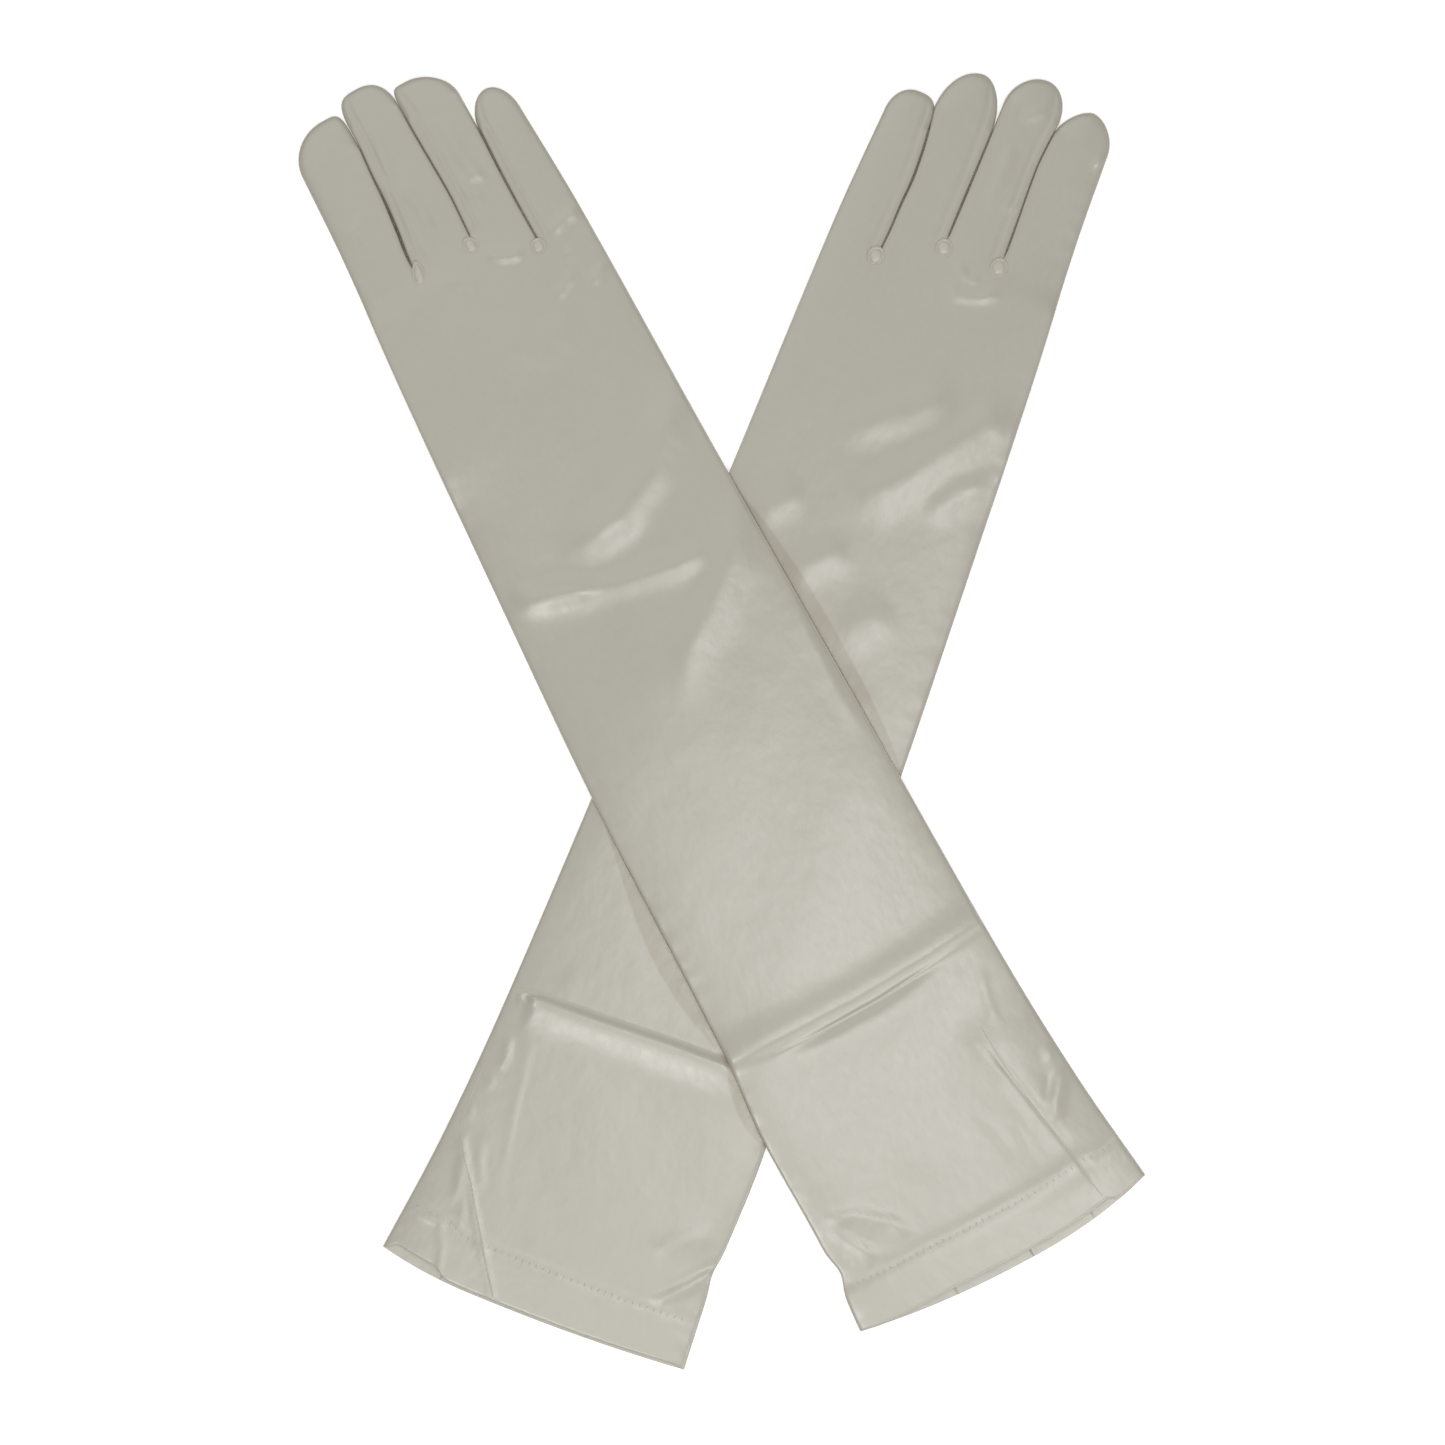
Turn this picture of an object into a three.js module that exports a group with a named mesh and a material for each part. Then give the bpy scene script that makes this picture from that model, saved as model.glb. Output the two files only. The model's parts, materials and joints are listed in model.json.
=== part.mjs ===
// A pair of opera-length satin gloves, lying palm down with the right glove crossed over the left.
// Millimetres, +Z up. The pair lies in XY with its fingers towards +Y, and the origin is on the
// surface that it lies on, under the middle of the pair.
//
// Each glove is drawn in its own plan: s runs from the hem to the fingertips and t runs across the
// glove, positive towards the index finger. A glove's walls are plies of cloth of even thickness.

import * as THREE from 'three';

// Overall sizes
const PLY = 0.8; // one wall of cloth
const HEM_PLY = 1; // the hem, where the cloth is turned up
const GLOVE_HEIGHT = 6.4; // a glove lying flat, over both walls
const GAP = 0.3; // between pieces that touch
const WALL_LOW = 1.5; // side walls stand between the palm and the back
const WALL_HIGH = 4.9;
const HEM_DEPTH = 19;
const HEM_STEPS = 10; // across a hem
const ARM_STEP = 24; // spacing of the rows across an arm
const WRIST = 358;

// Half widths of a glove, [s, t], on the index side and on the little finger's side
const INDEX_SIDE = [[0, 68.2], [40, 65.5], [90, 65.5], [130, 62.3], [250, 59.2], [350, 53.3],
  [440, 47.2], [500, 42.2], [540, 40.3], [560, 39.6]];
const LITTLE_SIDE = [[0, 68.7], [50, 63.5], [110, 60.3], [250, 58.2], [350, 57], [470, 56.3],
  [520, 54.3], [560, 52]];

// Fingers: the seams between them lie at fixed t, and each finger starts at its knuckle line
const INDEX_MIDDLE = 16;
const MIDDLE_RING = -9;
const RING_LITTLE = -33.8;
const KNUCKLES = 484;
const LITTLE_KNUCKLE = 469;
const BETWEEN_FINGERS = 0.8;
const HALF_GAP = BETWEEN_FINGERS / 2;
const TIP_RADIUS = 12;
const TIP_TAPER = 16; // over this length the back of a fingertip comes down to the palm
const TIP_ANGLES = [25, 50, 68, 80];

// The folded end of a fourchette, a small drop between two fingers
const CROTCH_HALF_WIDTH = 2.6;
const CROTCH_LENGTH = 7.5;

// Thumb, tucked flat under the palm
const THUMB = { t: 32, base: 402, tip: 464, baseHalf: 13, tipHalf: 9.5, height: 3 };
const THUMB_SEAM_WIDTH = 1.2;

// How the pair lies: the middle of each hem, and the turn of each glove about +Z, in degrees
// The mouth bows out beyond a straight hem by bow, most at t = bowAt
const LEFT = {
  name: 'left', side: 1, x: -78.34, y: -247.12, turn: -22.21, bow: 4.4, bowAt: -24,
};
const RIGHT = {
  name: 'right', side: -1, x: 118.86, y: -224.02, turn: 28.76, bow: 7.4, bowAt: -12,
};

// The right glove climbs over the left one, and each palm lies over its own thumb
const CLIMB = 6.9;
const CLIMB_MARGIN = 12;
const CLIMB_REACH = 36;
const THUMB_CLIMB = 3.4;
const THUMB_CLIMB_STARTS = [WRIST, 384]; // along the glove, from its hem
const THUMB_CLIMB_ENDS = [468, 482];
const THUMB_CLIMB_END_ROW = 440; // the last row across that lies wholly over the thumb
const THUMB_CLIMB_SIDE = [-14, 8]; // across the glove, towards the index finger

const SATIN = { color: 0xb6b2a2, roughness: 0.42, metalness: 0 };
const SATIN_SIDE = { color: 0xaca898, roughness: 0.5, metalness: 0 };
const SATIN_HEM = { color: 0xc2beb0, roughness: 0.4, metalness: 0 };

const ramp = (x, from, to) => THREE.MathUtils.smoothstep(x, from, to);
const evenSteps = (from, to, count) =>
  Array.from({ length: count + 1 }, (_, i) => THREE.MathUtils.lerp(from, to, i / count));

// A smooth half width through [s, t] points, with the slope at each taken from its neighbours
function widthAt(points, s) {
  const last = points.length - 1;
  const i = Math.min(Math.max(points.findIndex((p) => p[0] > s), 1), last) - 1;
  const at = (k) => points[Math.min(Math.max(k, 0), last)];
  const slope = (k) => (at(k + 1)[1] - at(k - 1)[1]) / (at(k + 1)[0] - at(k - 1)[0]);
  const span = at(i + 1)[0] - at(i)[0];
  const u = (s - at(i)[0]) / span;
  return at(i)[1] * (1 + 2 * u) * (1 - u) ** 2 + at(i + 1)[1] * (3 - 2 * u) * u ** 2
    + span * (slope(i) * u * (1 - u) ** 2 - slope(i + 1) * u ** 2 * (1 - u));
}

const indexEdge = (s) => widthAt(INDEX_SIDE, s);
const littleEdge = (s) => -widthAt(LITTLE_SIDE, s);

// How far the right glove's cloth stands above the table to clear the left glove, by how far
// outside the left glove's outline a point is
function climbOverLeft(t, s) {
  const point = new THREE.Vector2(RIGHT.side * t, s);
  point.rotateAround(new THREE.Vector2(), THREE.MathUtils.degToRad(RIGHT.turn));
  point.add(new THREE.Vector2(RIGHT.x - LEFT.x, RIGHT.y - LEFT.y));
  point.rotateAround(new THREE.Vector2(), THREE.MathUtils.degToRad(-LEFT.turn));
  const outside = Math.max(point.x - indexEdge(point.y), littleEdge(point.y) - point.x);
  return CLIMB * (1 - ramp(outside, CLIMB_MARGIN, CLIMB_MARGIN + CLIMB_REACH));
}

// How far a palm stands above the table to clear its own thumb
function climbOverThumb(t, s) {
  return THUMB_CLIMB * ramp(s, ...THUMB_CLIMB_STARTS) * (1 - ramp(s, ...THUMB_CLIMB_ENDS))
    * ramp(t, ...THUMB_CLIMB_SIDE);
}

const climbOf = (glove, t, s) => climbOverThumb(t, s) + (glove === RIGHT ? climbOverLeft(t, s) : 0);
const noClimb = () => 0;

// A closed piece of cloth over a grid of plan points [t, s], between two heights. A row may be
// shorter than the others: its cells then end early.
function cloth(glove, name, finish, grid, [low, high], climb = climbOf) {
  const corners = [];
  const ids = grid.map((row) => row.map(([t, s]) => {
    const lift = climb(glove, t, s);
    corners.push(glove.side * t, s, low(s) + lift, glove.side * t, s, high(s) + lift);
    return corners.length / 6 - 1;
  }));
  const faces = [];
  const edges = new Map();
  const add = (a, b, c) => faces.push(...(glove.side > 0 ? [a, b, c] : [a, c, b]));
  for (let i = 0; i + 1 < ids.length; i += 1) {
    for (let j = 0; j + 1 < Math.min(ids[i].length, ids[i + 1].length); j += 1) {
      const cell = [ids[i][j], ids[i][j + 1], ids[i + 1][j + 1], ids[i + 1][j]];
      const [a, b, c, d] = cell;
      add(2 * a + 1, 2 * b + 1, 2 * c + 1);
      add(2 * a + 1, 2 * c + 1, 2 * d + 1);
      add(2 * a, 2 * c, 2 * b);
      add(2 * a, 2 * d, 2 * c);
      cell.forEach((p, k) => edges.set(`${p},${cell[(k + 1) % 4]}`, [p, cell[(k + 1) % 4]]));
    }
  }
  for (const [p, q] of edges.values()) {
    if (!edges.has(`${q},${p}`)) {
      add(2 * p, 2 * q, 2 * q + 1);
      add(2 * p, 2 * q + 1, 2 * p + 1);
    }
  }
  const geometry = new THREE.BufferGeometry();
  geometry.setAttribute('position', new THREE.Float32BufferAttribute(corners, 3));
  geometry.setIndex(faces);
  geometry.computeVertexNormals();
  const mesh = new THREE.Mesh(geometry, new THREE.MeshStandardMaterial(finish));
  mesh.name = `${glove.name}_${name}`;
  return mesh;
}

const palmSide = (ply = PLY) => [() => 0, () => ply];
const backSide = (ply = PLY) => [() => GLOVE_HEIGHT - ply, () => GLOVE_HEIGHT];
const upright = [() => WALL_LOW, () => WALL_HIGH];

// A standing strip of cloth along a plan path of [t, s] points, with its width to the path's right
function strip(glove, name, finish, path, width, heights = upright, climb = climbOf) {
  const grid = path.map(([t, s], k) => {
    const [before, after] = [path[Math.max(k - 1, 0)], path[Math.min(k + 1, path.length - 1)]];
    const along = new THREE.Vector2(after[0] - before[0], after[1] - before[1]).normalize();
    return [[t, s], [t + along.y * width, s - along.x * width]];
  });
  return cloth(glove, name, finish, grid, heights, climb);
}

// The rows across the hand and arm, closer together where the palm climbs over the thumb
function armRows() {
  const start = HEM_DEPTH + GAP;
  const straight = evenSteps(start, WRIST, Math.round((WRIST - start) / ARM_STEP));
  const overThumb = evenSteps(THUMB_CLIMB_STARTS[1], THUMB_CLIMB_END_ROW, 2);
  return [...straight, ...overThumb, LITTLE_KNUCKLE - GAP,
    (LITTLE_KNUCKLE + KNUCKLES) / 2, KNUCKLES - GAP];
}

// One row of the hand and arm, from the index side inwards. Past the little finger's knuckle the
// row stops at that finger's seam.
function armRow(s) {
  const seam = RING_LITTLE + HALF_GAP;
  const index = evenSteps(indexEdge(s), seam, 6);
  const little = [0.5 * (seam + littleEdge(s)), littleEdge(s)];
  return (s > LITTLE_KNUCKLE ? index : [...index, ...little]).map((t) => [t, s]);
}

// Panels: the back and the palm of the hand and arm
function panels(glove) {
  const grid = armRows().map(armRow).reverse();
  return [
    cloth(glove, 'back_panel', SATIN, grid, backSide()),
    cloth(glove, 'palm_panel', SATIN, grid, palmSide()),
  ];
}

// The two long edges: the fold beside the thumb, and the seam on the little finger's side
function longEdges(glove) {
  const foldRows = [0, ...armRows()];
  const seamRows = foldRows.filter((s) => s < LITTLE_KNUCKLE);
  return [
    strip(glove, 'index_side_fold', SATIN_SIDE,
      foldRows.map((s) => [indexEdge(s) - PLY, s]), PLY),
    strip(glove, 'little_side_seam', SATIN_SIDE,
      seamRows.map((s) => [littleEdge(s), s]), PLY),
  ];
}

// The turned-up hem, on the back and on the palm
function hem(glove) {
  const bowed = (t, s) => {
    const reach = t > glove.bowAt ? indexEdge(s) - glove.bowAt : glove.bowAt - littleEdge(s);
    const share = Math.abs(t - glove.bowAt) / reach;
    return s - glove.bow * (1 - share ** 2) * (1 - s / HEM_DEPTH);
  };
  const grid = [HEM_DEPTH, HEM_DEPTH / 2, 0].map((s) =>
    evenSteps(indexEdge(s), littleEdge(s), HEM_STEPS).map((t) => [t, bowed(t, s)]));
  return [
    cloth(glove, 'hem_back', SATIN_HEM, grid, backSide(HEM_PLY)),
    cloth(glove, 'hem_palm', SATIN_HEM, grid, palmSide(HEM_PLY)),
  ];
}

const FINGERS = [
  { name: 'index', base: KNUCKLES, tip: 555, low: () => INDEX_MIDDLE + HALF_GAP, high: indexEdge,
    lowWall: 'fourchette', highWall: 'fold' },
  { name: 'middle', base: KNUCKLES, tip: 560, low: () => MIDDLE_RING + HALF_GAP,
    high: () => INDEX_MIDDLE - HALF_GAP, lowWall: 'fourchette_ring_side',
    highWall: 'fourchette_index_side' },
  { name: 'ring', base: KNUCKLES, tip: 552, low: () => RING_LITTLE + HALF_GAP,
    high: () => MIDDLE_RING - HALF_GAP, lowWall: 'fourchette_little_side',
    highWall: 'fourchette_middle_side' },
  { name: 'little', base: LITTLE_KNUCKLE, tip: 534.5, low: littleEdge,
    high: () => RING_LITTLE - HALF_GAP, lowWall: 'seam', highWall: 'fourchette' },
];

// A finger: its back and palm faces, and the two upright walls between them
function finger(glove, { name, base, tip, low, high, lowWall, highWall }) {
  const shoulder = tip - TIP_RADIUS;
  const rows = evenSteps(base + GAP, shoulder, 3);
  const middle = (low(shoulder) + high(shoulder)) / 2;
  const reach = (high(shoulder) - low(shoulder)) / 2;
  const across = (a, b, s) => evenSteps(b, a, 2).map((t) => [t, s]);
  const round = TIP_ANGLES.map(THREE.MathUtils.degToRad).map((angle) => across(
    middle - reach * Math.cos(angle), middle + reach * Math.cos(angle),
    shoulder + TIP_RADIUS * Math.sin(angle)));
  const grid = [...rows.map((s) => across(low(s), high(s), s)), ...round].reverse();
  const taper = (s) => (GLOVE_HEIGHT - 2 * PLY - GAP) * ramp(s, tip - TIP_TAPER, tip);
  return [
    cloth(glove, `${name}_back`, SATIN, grid,
      [(s) => GLOVE_HEIGHT - PLY - taper(s), (s) => GLOVE_HEIGHT - taper(s)]),
    cloth(glove, `${name}_palm`, SATIN, grid, palmSide()),
    strip(glove, `${name}_${lowWall}`, SATIN_SIDE,
      rows.map((s) => [low(s), Math.min(s, tip - TIP_TAPER)]), PLY),
    strip(glove, `${name}_${highWall}`, SATIN_SIDE,
      rows.map((s) => [high(s) - PLY, Math.min(s, tip - TIP_TAPER)]), PLY),
  ];
}

// The folded end of a fourchette, closing the hand between two fingers
function crotch(glove, name, seam, base, sideWall = 0) {
  const start = base - GAP;
  const drop = new THREE.SplineCurve([
    new THREE.Vector2(seam - HALF_GAP, start),
    new THREE.Vector2(seam - CROTCH_HALF_WIDTH, start - 0.6 * CROTCH_LENGTH),
    new THREE.Vector2(seam, start - CROTCH_LENGTH),
    new THREE.Vector2(seam + CROTCH_HALF_WIDTH, start - 0.6 * CROTCH_LENGTH),
    new THREE.Vector2(seam + HALF_GAP, start),
  ]);
  const path = drop.getPoints(12).map((p) => [p.x, p.y]);
  const legs = sideWall ? [[seam + HALF_GAP, start + sideWall]] : [];
  return strip(glove, `${name}_crotch`, SATIN_SIDE, [...path, ...legs], PLY);
}

// The thumb: an outer and an inner face and the seam that joins them, pressed flat
function thumb(glove) {
  const { t, base, tip, baseHalf, tipHalf, height } = THUMB;
  const shoulder = tip - tipHalf;
  const rows = [[base, baseHalf], [(base + shoulder) / 2, (baseHalf + tipHalf) / 2],
    [shoulder, tipHalf], ...TIP_ANGLES.map(THREE.MathUtils.degToRad).map((angle) =>
      [shoulder + tipHalf * Math.sin(angle), tipHalf * Math.cos(angle)])];
  const grid = rows.map(([s, reach]) => [[t - reach, s], [t, s], [t + reach, s]]);
  const outline = [...rows.map(([s, reach]) => [t - reach, s]),
    ...rows.map(([s, reach]) => [t + reach, s]).reverse()];
  const seamHeights = [() => PLY + GAP, () => height - PLY - GAP];
  return [
    cloth(glove, 'thumb_outer', SATIN, grid, palmSide(), noClimb),
    cloth(glove, 'thumb_inner', SATIN, grid, [() => height - PLY, () => height], noClimb),
    strip(glove, 'thumb_seam', SATIN_SIDE, outline, THUMB_SEAM_WIDTH, seamHeights, noClimb),
  ];
}

function buildGlove(glove) {
  const group = new THREE.Group();
  group.add(
    ...panels(glove),
    ...longEdges(glove),
    ...hem(glove),
    ...FINGERS.flatMap((shape) => finger(glove, shape)),
    crotch(glove, 'index_middle', INDEX_MIDDLE, KNUCKLES),
    crotch(glove, 'middle_ring', MIDDLE_RING, KNUCKLES),
    crotch(glove, 'ring_little', RING_LITTLE, LITTLE_KNUCKLE, KNUCKLES - LITTLE_KNUCKLE),
    ...thumb(glove),
  );
  group.position.set(glove.x, glove.y, 0);
  group.rotation.z = THREE.MathUtils.degToRad(glove.turn);
  return group;
}

const pair = new THREE.Group();
pair.add(buildGlove(LEFT), buildGlove(RIGHT));

export default pair;
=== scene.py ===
"""A pair of opera-length satin gloves, lying palm down with the right glove crossed over the left.

Each glove is worked in its own plan, in millimetres: s runs from the hem to the fingertips and t
runs across the glove, positive towards the index finger. Its cloth is one skin, the back and the
palm joined round the edges, which is then parted at the hem, at the knuckles and along the
fourchettes into separate pieces.
"""

import json
import math

import bpy
import numpy as np
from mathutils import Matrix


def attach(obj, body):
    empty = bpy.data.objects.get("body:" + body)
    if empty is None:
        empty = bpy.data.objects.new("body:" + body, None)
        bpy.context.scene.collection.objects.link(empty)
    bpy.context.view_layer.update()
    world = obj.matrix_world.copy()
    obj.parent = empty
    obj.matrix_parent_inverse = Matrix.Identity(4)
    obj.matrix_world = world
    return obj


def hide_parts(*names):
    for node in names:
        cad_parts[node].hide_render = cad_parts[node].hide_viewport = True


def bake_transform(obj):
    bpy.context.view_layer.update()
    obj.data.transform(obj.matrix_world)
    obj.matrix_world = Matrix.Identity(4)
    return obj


bl_info = {
    "name": "Opera Gloves",
    "version": (1, 0, 0),
    "blender": (4, 5, 0),
    "location": "View3D > Sidebar > Opera Gloves",
    "description": "A crossed pair of opera-length satin gloves, built around the packed frame",
    "category": "Add Mesh",
}

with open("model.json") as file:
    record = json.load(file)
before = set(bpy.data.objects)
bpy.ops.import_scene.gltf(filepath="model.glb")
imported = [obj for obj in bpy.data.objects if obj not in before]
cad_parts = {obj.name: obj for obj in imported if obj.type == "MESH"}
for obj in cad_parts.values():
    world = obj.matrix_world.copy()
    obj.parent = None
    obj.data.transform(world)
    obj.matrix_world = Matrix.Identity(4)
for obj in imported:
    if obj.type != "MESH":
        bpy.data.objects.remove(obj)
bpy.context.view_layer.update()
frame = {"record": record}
MM = 0.001

# ---- the cut of a glove, in millimetres; its two sides are (s, distance from the middle) points ----
INDEX_SIDE = [(0, 68.2), (40, 65.5), (90, 65.5), (130, 62.3), (250, 59.2), (350, 53.3),
              (440, 47.2), (500, 42.2), (540, 40.3), (560, 39.6)]
LITTLE_SIDE = [(0, 68.7), (50, 63.5), (110, 60.3), (250, 58.2), (350, 57), (470, 56.3),
               (520, 54.3), (560, 52)]
LANES = ("little", "ring", "middle", "index")
KNUCKLES = {"little": 469.0, "ring": 484.0, "middle": 484.0, "index": 484.0}
FINGER_MIDDLES = {"little": -45.0, "ring": -21.0, "middle": 3.5, "index": 29.0}
SEAM_NAMES = ("ring_little", "middle_ring", "index_middle")
HEM_DEPTH = 19.0

# The lines between the lanes: shares of the arm's half width up to ARM_END, and from HAND_START on
# the lines of the slits between the fingers
ARM_SHARES = (-0.6, -0.16, 0.36)
ARM_END = 250.0
HAND_START = 440.0

# Each finger's tip: where it starts to round off, its highest point (s, t), and how square its
# shoulders are on the little finger's side and on the index finger's side
TIPS = {
    "right": {"little": (520.0, 534.4, -45.0, 2.0, 2.0), "ring": (538.0, 553.2, -17.0, 1.9, 6.0),
              "middle": (546.0, 560.4, 3.0, 2.4, 3.4), "index": (538.0, 555.4, 22.0, 5.0, 2.0)},
    "left": {"little": (522.0, 535.6, -43.0, 2.2, 3.0), "ring": (532.0, 552.3, -20.5, 2.0, 1.85),
             "middle": (545.0, 560.0, 5.0, 1.9, 2.1), "index": (540.0, 554.6, 28.0, 1.6, 1.8)},
}
# The slits between the fingers, from the little finger's: where each starts, its line as (s, t)
# points, and half its width as (s, width) points
SLITS = {
    "right": (
        (467.0, [(440, -33.8), (468, -33.8), (484, -33.7), (502, -33.9), (519, -34.5), (540, -34.5)],
         [(467, 0.06), (480, 0.2), (500, 0.3), (519, 0.42), (540, 0.42)]),
        (484.0, [(440, -9), (470, -9), (486, -9.7), (502, -10.5), (518, -10.2), (533, -9.8),
                 (553, -9.7)],
         [(484, 0.03), (500, 0.05), (520, 0.05), (553, 0.08)]),
        (483.0, [(440, 16), (470, 16.8), (485, 17.9), (500, 16.2), (513, 14.9), (525, 14.3),
                 (540, 13.2), (556, 13.4)],
         [(483, 0.15), (490, 0.5), (500, 0.6), (513, 0.4), (526, 0.16), (556, 0.1)]),
    ),
    "left": (
        (466.5, [(440, -33.8), (468, -33.3), (477, -32.8), (489, -32.6), (500, -32.1), (513, -32.7),
                 (523, -33.8), (535, -35.6)],
         [(466, 0.1), (480, 0.22), (500, 0.36), (513, 0.32), (525, 0.2), (535, 0.12)]),
        (483.0, [(440, -9), (484, -9), (506, -8.8), (528, -8.7), (548, -8.8)],
         [(483, 0.1), (492, 0.26), (506, 0.26), (528, 0.16), (548, 0.16)]),
        (485.5, [(440, 16), (480, 16), (487, 16), (500, 15.5), (512, 14.9), (525, 14.5),
                 (536, 15.2), (550, 16.8)],
         [(485, 0.08), (492, 0.18), (505, 0.06), (525, 0.04), (550, 0.06)]),
    ),
}
# How much of a slit's width stays open as the glove lies, and how near its middle the palm's lips come
SLIT_SPREAD = 0.6
SLIT_GAP = 0.02

# The hem: the depth and width of the hollow along its stitches, how far the mouth bows out and the
# t of its middle, the notch in the index side by its depth, its s and its width, and how far the
# back's hem stops short of the palm's, at most and, on the left glove, everywhere
HEM_HOLLOWS = {"right": (0.34, 3.0), "left": (0.12, 1.4)}
HEM_BOWS = {"right": (7.4, -12.0), "left": (4.4, -24.0)}
HEM_NOTCHES = {"right": (2.4, 26.0, 7.0), "left": (1.2, 41.6, 7.0)}
HALF_MOUTH = 68.0
HEM_SLIP = 3.4
LEFT_HEM_SLIP = 0.9

# How far past its knuckle line a finger's bend would reach; no finger is bent here
KNUCKLE_TURN = 26.0

# The strip of the lower glove that the upper one shades, as points of the place along the upper
# glove and the strip's width there, beside its index side and its little side, and how softly it ends
SHADED_BY_INDEX_SIDE = [(84, 0), (100, 4.6), (116, 4.0), (125, 1.6), (134, 2.6), (160, 7.6),
                        (186, 8.2), (214, 4.4), (238, 0)]
SHADED_BY_LITTLE_SIDE = [(190, 0), (215, 4.2), (250, 6.2), (290, 5.8), (318, 3.2), (336, 0)]
SHADE_SOFTNESS = 1.4

# The fourchettes: the share of a finger's width that shows of the strip facing the index finger and
# of the strip facing the little finger, and of either on the palm, then the groove of their seam
STRIP_FACING_INDEX = 0.18
STRIP_FACING_LITTLE = 0.037
STRIP_ON_PALM = 0.06
GROOVE_DEPTH = 0.38
GROOVE_WIDTH = 0.7

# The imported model's walls on each finger's little side and index side
FINGER_WALLS = {
    "little": ("seam", "fourchette"),
    "ring": ("fourchette_little_side", "fourchette_middle_side"),
    "middle": ("fourchette_ring_side", "fourchette_index_side"),
    "index": ("fourchette", "fold"),
}

# Each fourchette's end: its middle (s, t), half its width, half its length, its turn in degrees,
# and how round it is, from a drop at 0 to an oval at 1
FOURCHETTE_ENDS = {
    "right": ((465.6, -32.8, 3.1, 3.2, 20, 0.8), (479.6, -7.9, 3.0, 3.5, -10, 0.7),
              (479.4, 17.0, 2.9, 5.6, 16, 0.3)),
    "left": ((464.6, -34.2, 3.5, 3.7, 0, 0.8), (478.4, -8.9, 3.5, 3.7, 0, 0.8),
             (479.4, 15.6, 3.6, 3.9, 0, 0.8)),
}
# The end's section from its rim to its middle: share of its size, height and how shaded it is, then
# the heights of its crown, its underside and the stitching round it
END_SECTION = ((1.0, -0.7, 0.8), (1.0, 0.0, 0.6), (0.94, 0.24, 0.1), (0.84, 0.26, 0.0),
               (0.76, 0.08, 0.4), (0.68, 0.24, 0.1), (0.5, 0.36, 0.05), (0.25, 0.42, 0.0))
END_CROWN = 0.44
END_UNDERSIDE = -0.9
END_BINDING = 0.22

# The side seam's path across the cuff, as (s, t) points; past the last one it joins the little side,
# and it ends at SEAM_TOP
SEAM_PATHS = {
    "right": [(0, -49), (16, -46), (52, -41), (87, -38), (107, -40), (128, -48), (160, -56.5)],
    "left": [(0, -16.5), (11, -24.5), (30, -37.5), (50, -52.5), (62, -58), (124, -57), (170, -57)],
}
SEAM_TOP = 468.0
WELT_RADIUS = 0.30
BINDING_RADIUS = 0.26

# The hem's stitches: how far apart, how far to either side, and half a stitch's width, length and
# height
STITCH_SPACING = 3.1
STITCH_REACH = 61.5
STITCH_HALF_SIZES = (0.22, 0.95, 0.20)

# The thumb: the s of its foot, of its straight part's two ends and of its tip, its middle's t, half
# its width as (s, width) points, its cloth's thickness, and the points between which it would bend
# as the thumb swings, worked out but not used
THUMB_FOOT, THUMB_START, THUMB_SHOULDER, THUMB_TIP = 399.0, 407.0, 453.0, 464.0
THUMB_MIDDLE = 32.0
THUMB_HALF_WIDTHS = [(399, 12.5), (425, 12.0), (453, 10.0), (464, 9.6)]
THUMB_PLY = 0.25
THUMB_BEND = (34, 402, 1), (33, 424, 1)

# ---- the stage, in metres and watts: each softbox by its place, size and power. The camera looks
# straight down, and its view is VIEW_WIDTH wide at the floor ----
SOFTBOXES = {
    "sheen_softbox": ((0.29, -0.26, 1.85), 0.35, 3.0),
    "middle_sheen_softbox": ((0.02, -0.17, 1.85), 0.14, 0.9),
    "second_sheen_softbox": ((-0.30, -0.80, 1.80), 0.3, 5.2),
    "key_softbox": ((0.9, -1.2, 1.25), 1.0, 10),
    "top_softbox": ((-0.5, 1.0, 1.7), 1.6, 8),
}
ROOM_LIGHT = 0.395
FLOOR_GLOW = 0.35
FLOOR_SIZE = 6
FLOOR_DROP = 0.0002
CAMERA_PLACE = (0.00106, -0.00052, 2.2)
VIEW_WIDTH = 0.6084
SENSOR_WIDTH = 36


class GloveSizes(bpy.types.PropertyGroup):
    """Sizes of the cloth as it lies."""

    ply: bpy.props.FloatProperty(
        name="Cloth", description="Thickness of the satin", default=0.00045,
        min=0.0002, max=0.001, unit="LENGTH", subtype="DISTANCE", precision=5)
    hem_ply: bpy.props.FloatProperty(
        name="Hem", description="Thickness of the turned-up hem", default=0.0010,
        min=0.0004, max=0.002, unit="LENGTH", subtype="DISTANCE", precision=5)
    edge_half_height: bpy.props.FloatProperty(
        name="Edge", description="Half the height of a folded edge", default=0.0008,
        min=0.0004, max=0.002, unit="LENGTH", subtype="DISTANCE", precision=5)
    edge_roll: bpy.props.FloatProperty(
        name="Edge roll", description="How far in an edge rounds over", default=0.0010,
        min=0.0005, max=0.004, unit="LENGTH", subtype="DISTANCE", precision=5)
    puff: bpy.props.FloatProperty(
        name="Puff", description="How high the back stands above its edges", default=0.0011,
        min=0.0, max=0.004, unit="LENGTH", subtype="DISTANCE", precision=5)
    climb: bpy.props.FloatProperty(
        name="Climb", description="How high the right glove lies on the left one", default=0.0030,
        min=0.002, max=0.007, unit="LENGTH", subtype="DISTANCE", precision=5)


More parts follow.
